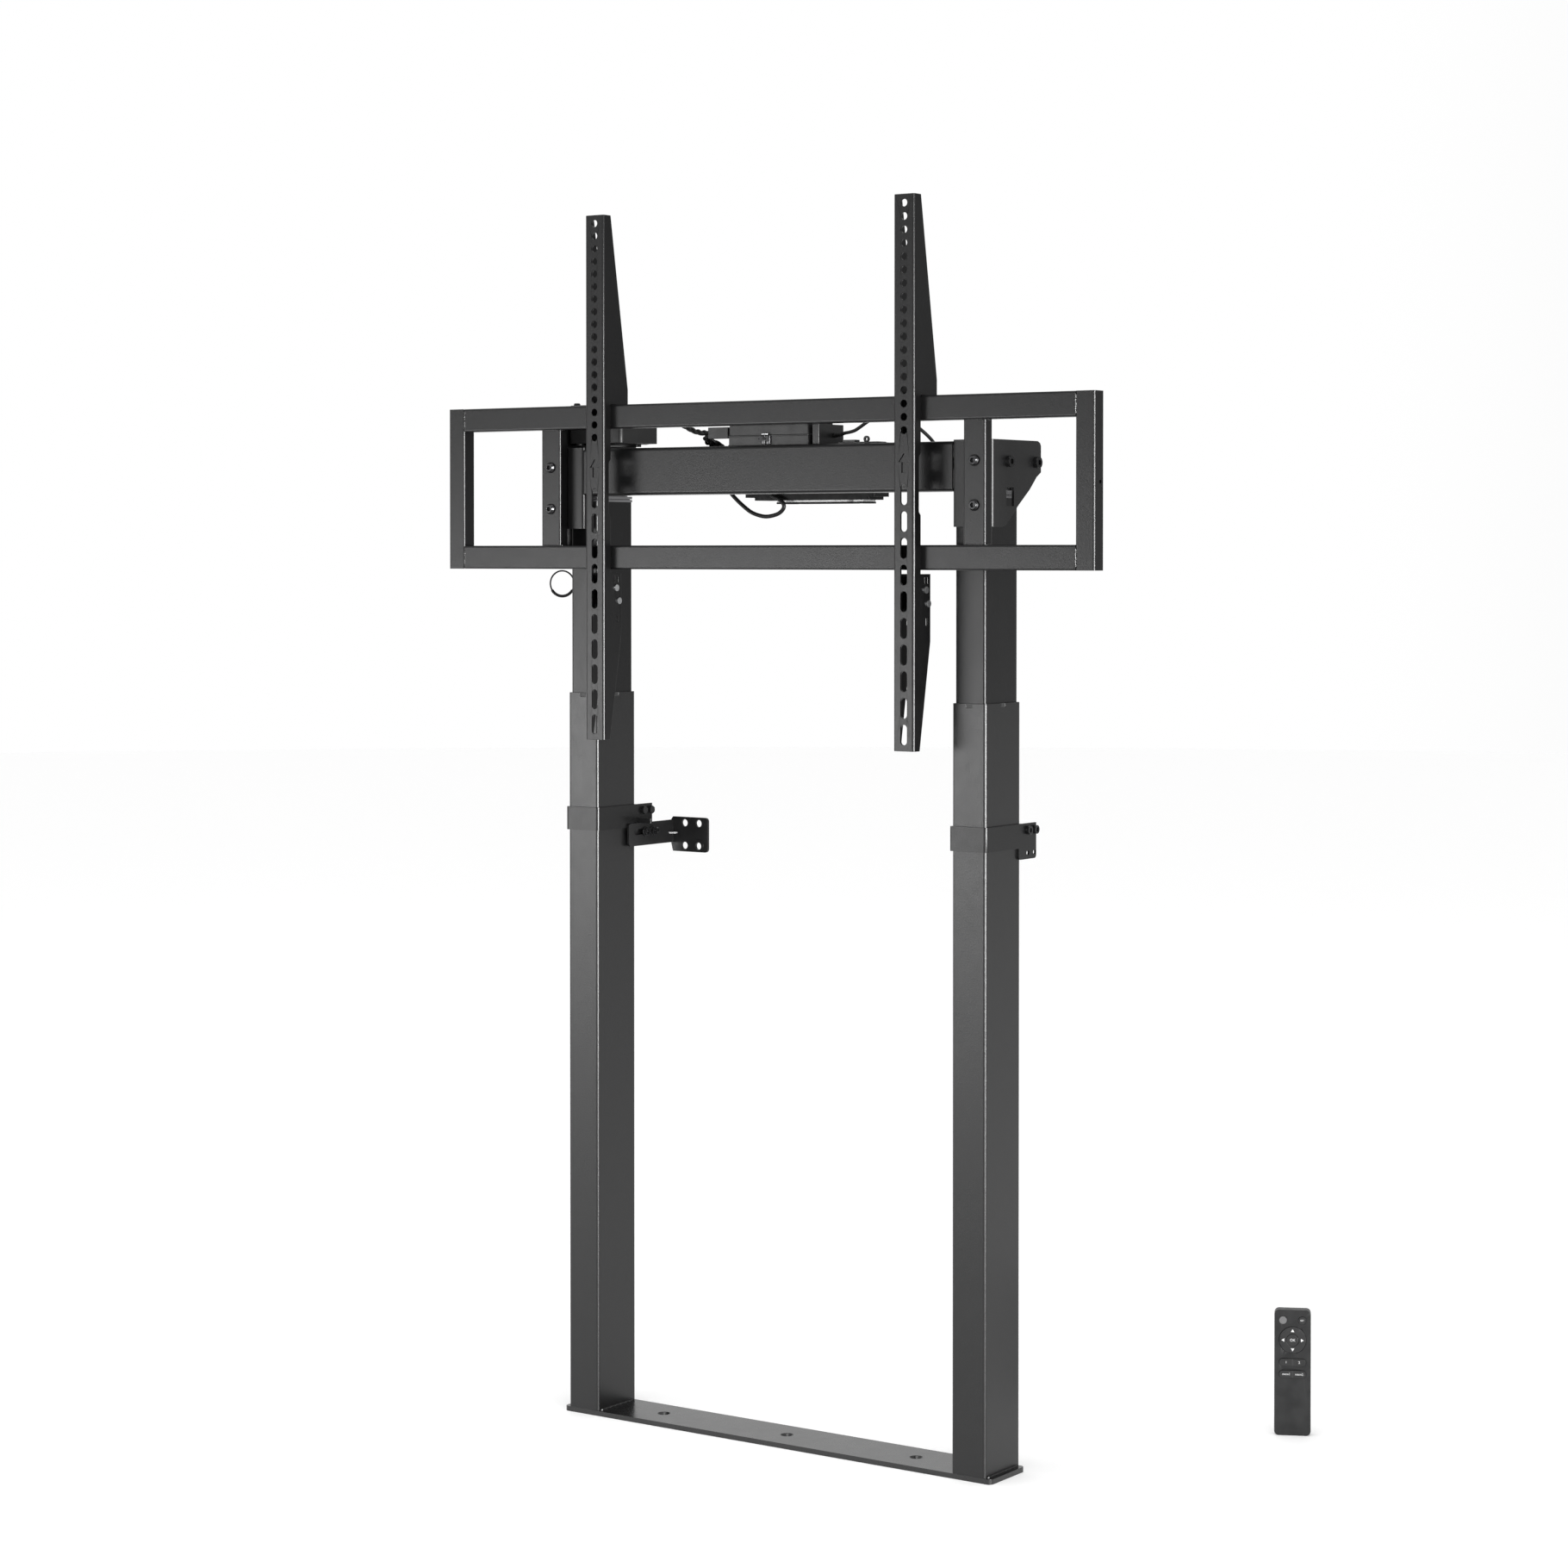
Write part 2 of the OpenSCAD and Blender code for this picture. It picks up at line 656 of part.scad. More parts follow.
module gear_housings() {
    z0 = inner_top + 11;
    color(dark)
        for (s = [-1, 1])
            on_side(s)
                difference() {
                    union() {
                        box(252, gusset_in, -30, 30, z0, 1169);
                        box(285, gusset_in, 29, 48, 1138, 1172);
                    }
                    box(257, 296, -20, 20, z0 + 4, 1170);
                    rod_z(column_x, 0, z0 - 1, z0 + 5, spindle_d + 2);
                    rod_x(251, 258, 0, shaft_z, shaft_d + 2 * run_gap);
                    for (y = [-19.3, 40.7])
                        rod_x(302, gusset_in + 1, y, 1152.5, 8);
                }
}
module housing_caps() {
    color(dark)
        for (s = [-1, 1])
            on_side(s)
                difference() {
                    union() {
                        box(252, gusset_in, -30, 29, 1169, 1172);
                        box(267, 311, -16, 29, 1172, head_top);
                    }
                    if (s < 0) {
                        rod_z(column_x, 0, 1168, head_top + 1, spindle_d + 2);
                    }
                }
}
// cradle folded up at its outer end
module motor_plate() {
    color(steel)
        difference() {
            union() {
                intersection() {
                    translate([0, 38, 0])
                        rotate([90, 0, 0])
                            linear_extrude(height = 76)
                                difference() {
                                    translate([-253.5, head_top + 50])
                                        round_rect(100, 100, 6);
                                    translate([-250.5, head_top + 53])
                                        round_rect(100, 100, 3);
                                }
                    box(-303.5, -252, -38, 38, head_top, 1218);
                }
            }
            rod_z(-column_x, 0, head_top - 1, head_top + 4, spindle_d + 4);
        }
}
module motor_gearbox() {
    floor_z = head_top + 6;
    color(dark)
        difference() {
            union() {
                translate([-260.25, 3.5, 0])
                    round_bar(80.5, 75, 5, floor_z, 1227);
                for (x = [-291, -258], y = [-25, 32])
                    rod_z(x, y, head_top + 3, floor_z, 11, 24);
                rod_y(-column_x, 41, 44, motor_z, 38, 48);
            }
            box(-column_x - 20, -column_x + 20, -20, 20, floor_z - 1, 1224);
            box(-252, -224, -30, 37, floor_z - 1, 1223);
            rod_y(-column_x, 19, 45, motor_z, shaft_d + 2 * run_gap);
        }
}
module motor_can() {
    color(steel)
        difference() {
            intersection() {
                rod_y(-column_x, 44, 88, motor_z, 42, 48);
                box(-column_x - 18, -column_x + 18, 44, 88, motor_z - 30, motor_z + 30);
            }
            rod_y(-column_x, 43, 56, motor_z, shaft_d + 4);
        }
}

// control box and power unit
module control_box() {
    color(plastic)
        difference() {
            box(-52, 61, -45, 8, 1175.5, 1187);
            box(-50, 59, -43, 6, 1178, 1188);
        }
}
module control_lid() {
    color(plastic)
        difference() {
            box(-51.5, 60.5, -44.5, 7.5, 1187, 1221);
            box(-49.5, 58.5, -42.5, 5.5, 1186, 1219);
        }
}
module lead_fittings() {
    color(dark) {
        box(66, 75, -43, 8, 1175.5, 1199);
        difference() {
            box(103, 158, -45, -27, 1175.5, 1177.3);
            rod_z(133, -34, 1175, 1179, 5, 24);
        }
        box(109, 126, -44.5, -34, 1177.3, 1179.8);
        difference() {
            rod_y(141, -44, -41, 1180.3, 7.5);
            rod_y(141, -45, -40, 1180.3, 3);
        }
        box(-86, -57, -40, -28, 1184.8, 1198);
        box(-57, -52, -38, -30, 1188, 1197);
        box(-69.5, -60, 2, 12, 1132, 1142);
        box(-32, -22, 2, 12, 1121, 1131);
        box(-304, -296, -20, -12, 1007.5, 1017.5);
        box(-306.1, -304, -18.5, -12.5, 1009.5, 1015.5);
    }
}
// straps that carry the power unit, and the two lid screws at the front
module box_fixings() {
    color(zinc) {
        for (x = [-68, 99]) {
            box(x, x + 14, -24, 12, 1175.5, 1177.5);
            box(x, x + 14, 10, 12, 1160, 1177.5);
        }
        for (x = [-4.5, 4.5])
            difference() {
                rod_y(x, -47.5, -45, 1183, 7);
                box(x - 3, x + 3, -48, -46.5, 1182.5, 1183.5);
            }
    }
}
module power_unit() {
    color(plastic)
        difference() {
            union() {
                translate([22.75, 28.5, 0])
                    round_bar(185.5, 33, 3, 1115.5, 1179);
                translate([25.75, 28.5, 0])
                    round_bar(164.5, 33, 3, 1112, 1116);
            }
            box(-67, 112.5, 15, 42, 1117.5, 1176);
        }
}
module control_leads() {
    color(dark) {
        wire(motor_lead_path, 2, 10);
        wire(switch_lead_path, 1.8, 8, [0, 1, 0]);
    }
}
module supply_leads() {
    color(dark) {
        wire(ribbon_path, 1.5, 8);
        wire(ribbon_path_b, 1.5, 8);
        wire(loop_path, 2, 10, [0, 1, 0]);
    }
}
module cable_ring() {
    color(dark)
        translate([-322, -20, 1012.4])
            rotate([0, 0, 18])
                rotate([90, 0, 0]) {
                    rotate_extrude($fn = 64)
                        translate([15.5, 0])
                            circle(d = 2, $fn = 10);
                    rotate([0, 0, -150])
                        rotate_extrude(angle = 120, $fn = 64)
                            translate([15.5, 0])
                                circle(d = 3.6, $fn = 12);
                }
}

// spindles, gears and shafts
module spindle_left() {
    color(zinc) {
        rod_z(-column_x, 0, 200, inner_top + 0.6, spindle_d);
        rod_z(-column_x, 0, inner_top + 0.6, motor_z - 9.6, journal_d);
    }
}
module spindle_right() {
    color(zinc) {
        rod_z(column_x, 0, 200, inner_top + 0.6, spindle_d);
        rod_z(column_x, 0, inner_top + 0.6, shaft_z - 9.6, journal_d);
    }
}
// bevel gear with its apex at the origin, teeth on the -Z side, a tooth at +X
module bevel(bore, turn) {
    pitch = 360 / teeth;
    ro = gear_r + addendum;
    ri = gear_r - dedendum;
    translate([0, 0, -gear_r])
        difference() {
            union() {
                linear_extrude(height = gear_r * 0.4, scale = 0.6)
                    rotate(turn)
                        union() {
                            circle(r = ri, $fn = 64);
                            for (i = [0 : teeth - 1])
                                rotate(i * pitch)
                                    polygon([[ri - 0.6, -1.85], [ri, -1.75], [gear_r, -1.3],
                                        [ro, -0.75], [ro, 0.75], [gear_r, 1.3], [ri, 1.75],
                                        [ri - 0.6, 1.85]]);
                        }
                translate([0, 0, -2.5])
                    cylinder(d = 21, h = 2.5, $fn = 32);
            }
            translate([0, 0, -6])
                cylinder(d = bore, h = 30, $fn = 32);
        }
}
module spindle_gears_left() {
    color(zinc)
        for (z = [shaft_z, motor_z])
            translate([-column_x, 0, z])
                bevel(journal_d, 0);
}
module spindle_gear_right() {
    color(zinc)
        translate([column_x, 0, shaft_z])
            bevel(journal_d, 0);
}
module cross_shaft() {
    color(zinc)
        rod_x(-column_x + 9, column_x - 9, 0, shaft_z, shaft_d, 32);
}
module cross_gears() {
    color(zinc) {
        translate([-column_x, 0, shaft_z])
            rotate([0, -90, 0])
                bevel(shaft_d, 180 / teeth);
        translate([column_x, 0, shaft_z])
            rotate([0, 90, 0])
                bevel(shaft_d, 180 / teeth);
    }
}
module motor_shaft() {
    color(zinc) {
        rod_y(-column_x, 9, 54, motor_z, shaft_d, 32);
        translate([-column_x, 0, motor_z])
            rotate([90, 0, 0])
                bevel(shaft_d, 180 / teeth);
    }
}

// screen arms
module arm_side_profile() {
    back = frame_y0 - arm_gap;
    polygon([[arm_y0, arm_z0], [arm_y0 + 12, arm_z0], [-52.3, 950], [-52.3, 1026],
        [back, 1026], [back, 1092], [-76.3, 1096], [-76.3, 1158], [back, 1162],
        [back, frame_top + arm_gap], [-51.3, frame_top + arm_gap], [-51.3, 1204.8],
        [-38.8, 1204.8], [-38.8, 1246], [arm_y0 + 14, arm_z1], [arm_y0, arm_z1]]);
}
module arm_slot(z) {
    half = (arm_slot_l - arm_hole_d) / 2;
    box(-arm_hole_d / 2, arm_hole_d / 2, arm_y0 - 1, arm_y0 + arm_t + 1, z - half, z + half);
    for (s = [-1, 1])
        rod_y(0, arm_y0 - 1, arm_y0 + arm_t + 1, z + s * half, arm_hole_d);
}
module arm() {
    half = arm_w / 2;
    difference() {
        union() {
            intersection() {
                union() {
                    translate([-half, arm_y0, arm_z0])
                        cube([arm_w, arm_t, arm_z1 - arm_z0]);
                    for (x = [-half, half - arm_t])
                        translate([x, 0, 0])
                            rotate([90, 0, 90])
                                linear_extrude(height = arm_t)
                                    arm_side_profile();
                }
                bar_z(-half, half, arm_y0, arm_y0 + 60, arm_z0, arm_z1, arm_bend);
            }
            box(-half, half, -51.3, -48.8, 1204.8, 1232);
            box(-half, half, frame_y0 - 4, -48.8, frame_top + arm_gap, frame_top + arm_gap + 2.5);
        }
        for (i = [0 : arm_holes - 1])
            rod_y(0, arm_y0 - 1, arm_y0 + arm_t + 1, arm_hole_z - i * arm_hole_pitch, arm_hole_d);
        translate([0, arm_y0 + arm_t + 1, 0])
            rotate([90, 0, 0])
                linear_extrude(height = arm_t + 2)
                    polygon([[-7, 1152], [0, 1162], [7, 1152], [3, 1152], [3, 1140], [-3, 1140], [-3, 1152]]);
        for (i = [0 : arm_slots - 1])
            arm_slot(arm_slot_z - i * arm_slot_pitch);
        rod_x(-20, 20, -62, 1008, 5);
        rod_x(-20, 20, -57, 992.5, 5);
        rod_z(0, -63, frame_top, frame_top + 6, 6, 24);
        box(-20, 20, -62, -58, 968, 976);
        for (y = [-66, -60])
            box(-20, 20, y, y + 1.5, 1015, 1022);
    }
}
module arm_left() {
    color(steel)
        translate([-arm_x, 0, 0]) arm();
}
module arm_right() {
    color(steel)
        translate([arm_x, 0, 0]) arm();
}
module arm_latch() {
    inside = arm_w / 2 - arm_t;
    difference() {
        union() {
            box(-inside, inside, -56, -53.5, 984, 1024);
            for (s = [-1, 1])
                box(s * inside, s * (inside - 2), -74, -53.5, 984, 1024);
        }
        rod_x(-20, 20, -62, 1008, 5);
        rod_x(-20, 20, -57, 992.5, 5);
        for (y = [-66, -60])
            box(-20, 20, y - 0.5, y + 2, 1014, 1023);
    }
}
module arm_latch_left() {
    color(zinc)
        translate([-arm_x, 0, 0]) arm_latch();
}
module arm_latch_right() {
    color(zinc)
        translate([arm_x, 0, 0]) arm_latch();
}
module arm_fasteners() {
    half = arm_w / 2;
    for (p = [[-62, 1008], [-57, 992.5]]) {
        rod_x(-half, half, p[0], p[1], 5);
        for (s = [-1, 1])
            rod_x(s * half, s * (half + 1.5), p[0], p[1], 8);
    }
    rod_z(0, -63, frame_top + arm_gap, frame_top + arm_gap + 2.5, 6, 24);
    difference() {
        rod_z(0, -63, frame_top + arm_gap + 2.5, frame_top + arm_gap + 6, 10, 24);
        rod_z(0, -63, frame_top + arm_gap + 4, frame_top + arm_gap + 7, 5, 6);
    }
}
module arm_fasteners_left() {
    color(zinc)
        translate([-arm_x, 0, 0]) arm_fasteners();
}
module arm_fasteners_right() {
    color(zinc)
        translate([arm_x, 0, 0]) arm_fasteners();
}

// handset, drawn facing -Y and then set beside the lift
module hand_place() {
    translate([hand_x, hand_y, 0])
        rotate([0, 0, hand_turn])
            children();
}
module hand_plate(y0, y1, inset) {
    translate([0, y1, hand_h / 2])
        rotate([90, 0, 0])
            linear_extrude(height = y1 - y0)
                round_rect(hand_w - 2 * inset, hand_h - 2 * inset, 5.5 - inset);
}
module pill(w, h, y0, y1, z) {
    hull()
        for (s = [-1, 1])
            rod_y(s * (w - h) / 2, y0, y1, z, h, 32);
}
module handset_front() {
    f = -hand_t / 2;
    color(plastic)
        hand_place()
            difference() {
                hand_plate(f, 0, 0);
                hand_plate(f + 1.6, 1, 1.6);
                for (s = [-1, 1])
                    rod_y(s * 11.35, f - 1, f + 2, 137.6, 8.9 + 2 * key_gap, 32);
                rod_y(0, f - 1, f + 2, 114, 31.7 + 2 * key_gap, 48);
                pill(31.7 + 2 * key_gap, 8.6 + 2 * key_gap, f - 1, f + 2, 87.5);
                pill(31.7 + 2 * key_gap, 8.6 + 2 * key_gap, f - 1, f + 2, 73.4);
            }
}
module handset_back() {
    b = hand_t / 2;
    color(plastic)
        hand_place()
            difference() {
                hand_plate(0, b, 0);
                hand_plate(-1, b - 1.6, 1.6);
                box(-14, 14, b - 3, b + 1, 14, 66);
            }
}
module handset_door() {
    b = hand_t / 2;
    color(plastic)
        hand_place() {
            difference() {
                box(-13.9, 13.9, b - 1.6, b, 14.1, 65.9);
                for (i = [0 : 3])
                    box(-6, 6, b - 0.5, b + 1, 56 + i * 2.2, 57 + i * 2.2);
            }
        }
}
module handset_board() {
    f = -hand_t / 2;
    color(zinc)
        hand_place() {
            box(-19, 19, f + 4.6, f + 6.2, 8, 142);
            for (z = [12, 138], x = [-15, 15])
                rod_y(x, f + 6.2, hand_t / 2 - 1.6, z, 4);
        }
}
module handset_ring() {
    f = -hand_t / 2;
    color(plastic)
        hand_place()
            difference() {
                union() {
                    rod_y(0, f - 1, f + 2.2, 114, 31.7, 48);
                    rod_y(0, f + 2.2, f + 3.4, 114, 34, 48);
                }
                rod_y(0, f - 2, f + 2.6, 114, 14.2 + 2 * key_gap, 32);
                rod_y(0, f + 2.1, f + 4, 114, 17.5, 32);
            }
}
module handset_ok() {
    f = -hand_t / 2;
    color(plastic)
        hand_place() {
            rod_y(0, f - 1.2, f + 3, 114, 14.2, 32);
            rod_y(0, f + 3, f + 3.7, 114, 16.4, 32);
        }
}
module round_key(x) {
    f = -hand_t / 2;
    hand_place() {
        rod_y(x, f - 1, f + 2.2, 137.6, 8.9, 32);
        rod_y(x, f + 2.2, f + 3.4, 137.6, 11, 32);
    }
}
module handset_key_plain() {
    color(white) round_key(-11.35);
}
module handset_key_set() {
    color(white) round_key(11.35);
}
module rocker(z) {
    f = -hand_t / 2;
    hand_place() {
        pill(31.7, 8.6, f - 1, f + 2.2, z);
        pill(34, 10.8, f + 2.2, f + 3.4, z);
        rod_z(0, f + 3.4, z - 4, z + 4, 1.8, 24);
    }
}
module handset_rocker_upper() {
    color(white) rocker(87.5);
}
module handset_rocker_lower() {
    color(white) rocker(73.4);
}

base_plate();
outer_column_left();
outer_column_right();
top_glides();
clamp_bands();
clamp_backs();
clamp_screws();
nut_tubes();
drive_nuts();
wall_bracket_left();
wall_bracket_right();
inner_column_left();
inner_column_right();
bottom_glides();
crossbeam();
head_bracket_left();
head_bracket_right();
frame_rails();
end_tubes();
support_tubes();
support_screws();
head_bolts();
housing_bases();
gear_housings();
housing_caps();
spindle_bearings();
motor_plate();
motor_gearbox();
motor_can();
control_box();
control_lid();
lead_fittings();
box_fixings();
power_unit();
control_leads();
supply_leads();
cable_ring();
spindle_left();
spindle_right();
spindle_gears_left();
spindle_gear_right();
cross_shaft();
cross_gears();
motor_shaft();
arm_left();
arm_right();
arm_latch_left();
arm_latch_right();
arm_fasteners_left();
arm_fasteners_right();
handset_front();
handset_back();
handset_door();
handset_board();
handset_ring();
handset_ok();
handset_key_plain();
handset_key_set();
handset_rocker_upper();
handset_rocker_lower();
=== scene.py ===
import math
import bmesh
import bpy
import numpy as np
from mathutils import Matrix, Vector


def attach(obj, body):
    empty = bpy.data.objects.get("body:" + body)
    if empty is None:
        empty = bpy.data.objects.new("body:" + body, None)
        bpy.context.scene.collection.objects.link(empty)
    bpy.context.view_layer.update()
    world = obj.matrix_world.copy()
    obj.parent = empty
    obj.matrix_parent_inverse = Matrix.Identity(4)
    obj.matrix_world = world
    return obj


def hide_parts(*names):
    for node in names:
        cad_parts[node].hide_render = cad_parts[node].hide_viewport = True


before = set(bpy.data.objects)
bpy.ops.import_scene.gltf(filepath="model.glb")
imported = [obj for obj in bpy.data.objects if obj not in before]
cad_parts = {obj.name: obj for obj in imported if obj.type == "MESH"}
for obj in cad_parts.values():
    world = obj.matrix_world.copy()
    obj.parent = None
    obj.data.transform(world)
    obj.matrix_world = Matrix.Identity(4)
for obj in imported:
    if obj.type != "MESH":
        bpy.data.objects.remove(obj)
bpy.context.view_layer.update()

# Camera and light: the lift is seen from its front right through a long lens. Soft light
# comes from all round, less of it from behind on the right. A wide soft box at the front
# left lights the flat fronts, and rounded edges alone mirror a tall one at the right.
LENS_PX, FRAME_PX, SENSOR = 4104.7, 1820, 36
LOOK_DOWN, LOOK_LEFT = 1.04, 34.94
camera = bpy.data.cameras.new("camera")
camera.sensor_width = SENSOR
camera.lens = LENS_PX / FRAME_PX * SENSOR
camera.shift_y = -0.1059
camera.clip_end = 90
viewer = bpy.data.objects.new("camera", camera)
viewer.location = (2.38483, -3.41955, 1.04885)
viewer.rotation_euler = (math.radians(90 - LOOK_DOWN), 0, math.radians(LOOK_LEFT))
bpy.context.scene.collection.objects.link(viewer)
bpy.context.scene.camera = viewer
bpy.context.scene.view_settings.view_transform = "Standard"


def node(tree, kind, inputs=None, **settings):
    """One shader node with its settings. inputs maps a socket to a value or to another
    node's output."""
    made = tree.nodes.new("ShaderNode" + kind)
    for key, value in settings.items():
        setattr(made, key, value)
    for key, value in (inputs or {}).items():
        if isinstance(value, bpy.types.NodeSocket):
            tree.links.new(value, made.inputs[key])
        else:
            made.inputs[key].default_value = value
    return made


DIM_WAY, DIM_FROM, DIM_TO, DIM_LEVEL = (0.60, 0.80, 0.0), 0.45, 0.95, 0.36
room = bpy.data.worlds.new("room")
room.use_nodes = True
walls = room.node_tree
heading = node(walls, "TexCoord")
towards_dim = node(walls, "VectorMath", {0: heading.outputs["Generated"], 1: DIM_WAY},
                   operation="DOT_PRODUCT")
lightness = node(walls, "MapRange",
                 {"Value": towards_dim.outputs["Value"], "From Min": DIM_FROM,
                  "From Max": DIM_TO, "To Min": 1.0, "To Max": DIM_LEVEL},
                 interpolation_type="SMOOTHSTEP")
backdrop = walls.nodes["Background"]
walls.links.new(lightness.outputs["Result"], backdrop.inputs["Strength"])
backdrop.inputs["Color"].default_value = (1, 1, 1, 1)
bpy.context.scene.world = room


def soft_box(name, place, target, width, height, power, spreads=True):
    """A rectangular lamp that points from its place to a target. One that doesn't spread is
    only mirrored."""
    lamp = bpy.data.lights.new(name, "AREA")
    lamp.shape = "RECTANGLE"
    lamp.size = width
    lamp.size_y = height
    lamp.energy = power
    holder = bpy.data.objects.new(name, lamp)
    holder.location = place
    way = Vector(target) - Vector(place)
    holder.rotation_euler = way.to_track_quat("-Z", "Y").to_euler()
    holder.visible_diffuse = spreads
    bpy.context.scene.collection.objects.link(holder)


soft_box("soft_box_left", place=(-2.45, -3.5, 0.62), target=(0, 0, 0.6),
         width=1.9, height=0.8, power=50)
soft_box("soft_box_right", place=(3.4, -1.6, 1.1), target=(0, 0, 1.0),
         width=1.5, height=2.0, power=620, spreads=False)
soft_box("soft_box_top", place=(0.3, -1.0, 4.4), target=(0, 0, 0.6),
         width=2.2, height=2.2, power=45)

# Floor: one wide pale disc under the lift and the handset, bright enough to run into the
# white round it. It is no part of the object.
FLOOR_RINGS, FLOOR_SPOKES, FLOOR_GLOW = np.array([0.01, 1, 3, 7, 15]), 96, 0.18
NOISE_LOW, NOISE_HIGH, CLOUD_SCALE, GLOSS_SCALE, BUMP = 0.3, 0.7, 9.0, 70.0, 0.6


def finish(name, base, rough, metallic=0.0, grain=1400.0, depth=0.00004, cloud=0.12,
           spread=0.06, stretch=(1, 1, 1), specular=0.5):
    """A made surface: a fine grain as bump, slow clouds in the colour and a middling noise
    in the gloss. The grain is a noise of about 1/grain metres, and stretch draws it out
    along an axis."""
    made = bpy.data.materials.new(name)
    made.use_nodes = True
    tree = made.node_tree
    shader = tree.nodes["Principled BSDF"]
    shader.inputs["Metallic"].default_value = metallic
    shader.inputs["Specular IOR Level"].default_value = specular
    where = node(tree, "TexCoord").outputs["Object"]
    drawn = node(tree, "Mapping", {"Vector": where, "Scale": stretch}).outputs["Vector"]
    fine = node(tree, "TexNoise", {"Vector": drawn, "Scale": grain, "Detail": 2.0})
    slow = node(tree, "TexNoise", {"Vector": where, "Scale": CLOUD_SCALE, "Detail": 3.0})
    mid = node(tree, "TexNoise", {"Vector": drawn, "Scale": GLOSS_SCALE, "Detail": 4.0})
    bump = node(tree, "Bump", {"Height": fine.outputs["Fac"], "Strength": BUMP,
                               "Distance": depth})
    tone = node(tree, "ValToRGB", {"Fac": slow.outputs["Fac"]})
    low, high = tone.color_ramp.elements
    low.position, high.position = NOISE_LOW, NOISE_HIGH
    low.color = tuple(c * (1 - cloud) for c in base) + (1,)
    high.color = tuple(min(1, c * (1 + cloud)) for c in base) + (1,)
    gloss = node(tree, "MapRange", {"Value": mid.outputs["Fac"], "From Min": NOISE_LOW,
                                    "From Max": NOISE_HIGH, "To Min": rough - spread,
                                    "To Max": rough + spread})
    tree.links.new(tone.outputs["Color"], shader.inputs["Base Color"])
    tree.links.new(gloss.outputs["Result"], shader.inputs["Roughness"])
    tree.links.new(bump.outputs["Normal"], shader.inputs["Normal"])
    return made


def surface(name, sheets, material, smooth=True):
    """One mesh from several sheets. A sheet is an array of points rows x columns x 3, and
    three flags: its last row joins its first, its last column joins its first, and its end
    rows are filled."""
    points, faces, start = [], [], 0
    for grid, close_rows, close_columns, capped in sheets:
        rows, columns = grid.shape[:2]
        index = start + np.arange(rows * columns).reshape(rows, columns)
        if close_rows:
            index = np.vstack([index, index[:1]])
        if close_columns:
            index = np.hstack([index, index[:, :1]])
        quads = np.stack([index[:-1, :-1], index[1:, :-1], index[1:, 1:], index[:-1, 1:]], -1)
        faces.extend(quads.reshape(-1, 4).tolist())
        if capped:
            faces.append(index[0, :columns].tolist())
            faces.append(index[-1, :columns][::-1].tolist())
        points.append(grid.reshape(-1, 3))
        start += rows * columns
    mesh = bpy.data.meshes.new(name)
    mesh.from_pydata(np.concatenate(points).tolist(), [], faces)
    mesh.polygons.foreach_set("use_smooth", [smooth] * len(faces))
    mesh.materials.append(material)
    made = bpy.data.objects.new(name, mesh)
    bpy.context.scene.collection.objects.link(made)
    return made


spokes = np.linspace(0, 2 * np.pi, FLOOR_SPOKES, endpoint=False)
floor_x = FLOOR_RINGS[:, None] * np.cos(spokes)
floor_y = FLOOR_RINGS[:, None] * np.sin(spokes)
FLOOR_PAINT = finish("pale_floor", (0.84, 0.84, 0.84), 0.85, cloud=0.004, depth=0.000001)
paint = FLOOR_PAINT.node_tree.nodes["Principled BSDF"]
paint.inputs["Emission Color"].default_value = (1, 1, 1, 1)
paint.inputs["Emission Strength"].default_value = FLOOR_GLOW
floor_grid = np.stack([floor_x, floor_y, 0 * floor_x], -1)
floor = surface("floor", [(floor_grid, False, True, False)], FLOOR_PAINT)

# Leads: black sheathed wires from the control box to the motor and to the right head, a
# pair down to the power unit, and one that loops under the crossbeam. Each is held at
# both ends and follows the route of its solid.
SHEATH = finish("cable_sheath", (0.006, 0.006, 0.006), 0.45, grain=500, depth=0.00002,
                specular=0.2)
MOTOR_LEAD = [
    (-86.05, -34, 1192.5), (-90, -34, 1192.5), (-95, -34, 1192), (-104, -34, 1193),
    (-114, -34, 1196), (-124, -33.5, 1200.5), (-136, -33, 1205), (-150, -32, 1208),
    (-166, -30, 1209), (-182, -27, 1208.5), (-198, -23, 1208), (-210, -20, 1208),
    (-219.95, -20, 1208)]
SWITCH_LEAD = [
    (75.05, -12, 1186.5), (80, -12, 1186.5), (88, -17, 1186.7), (95, -24, 1187.3),
    (102, -29, 1188.2), (110, -31.5, 1189), (118, -32.5, 1190.8), (126, -33.5, 1194.5),
    (134, -34, 1199), (143, -35, 1203), (156, -35.5, 1206), (172, -35, 1206.5),
    (186, -32, 1203), (196, -27, 1196), (204.5, -21.5, 1188), (210.5, -15.5, 1180),
    (215, -12.5, 1173), (221, -11, 1165.5), (229, -11, 1159.5), (240, -11, 1156.2),
    (246, -11, 1155.5), (251.95, -11, 1155.5)]
SUPPLY_A = [
    (-86.05, -31, 1189), (-89.5, -31, 1189), (-94, -30.5, 1188.6), (-98, -27.5, 1185.3),
    (-98.5, -22.5, 1181.2), (-97, -17, 1178.6), (-95, -12.5, 1174.5), (-94, -8, 1168.5),
    (-94, 0, 1162), (-93, 8, 1159), (-89, 17, 1157), (-83, 22, 1156), (-77, 24, 1156),
    (-70.05, 24, 1156)]
SUPPLY_B = [
    (-86.05, -36, 1187.4), (-88.5, -36, 1187.4), (-91, -34.5, 1186.3),
    (-91.5, -30.5, 1184.4), (-90, -24, 1181.2), (-87, -17, 1178.6), (-84.5, -12.5, 1174.5),
    (-83.5, -8, 1168.5), (-84, 0, 1163), (-85, 10, 1157), (-85.5, 19, 1150.5),
    (-84, 26, 1145.5), (-80.5, 30, 1143), (-76, 31, 1142), (-70.05, 31, 1142)]
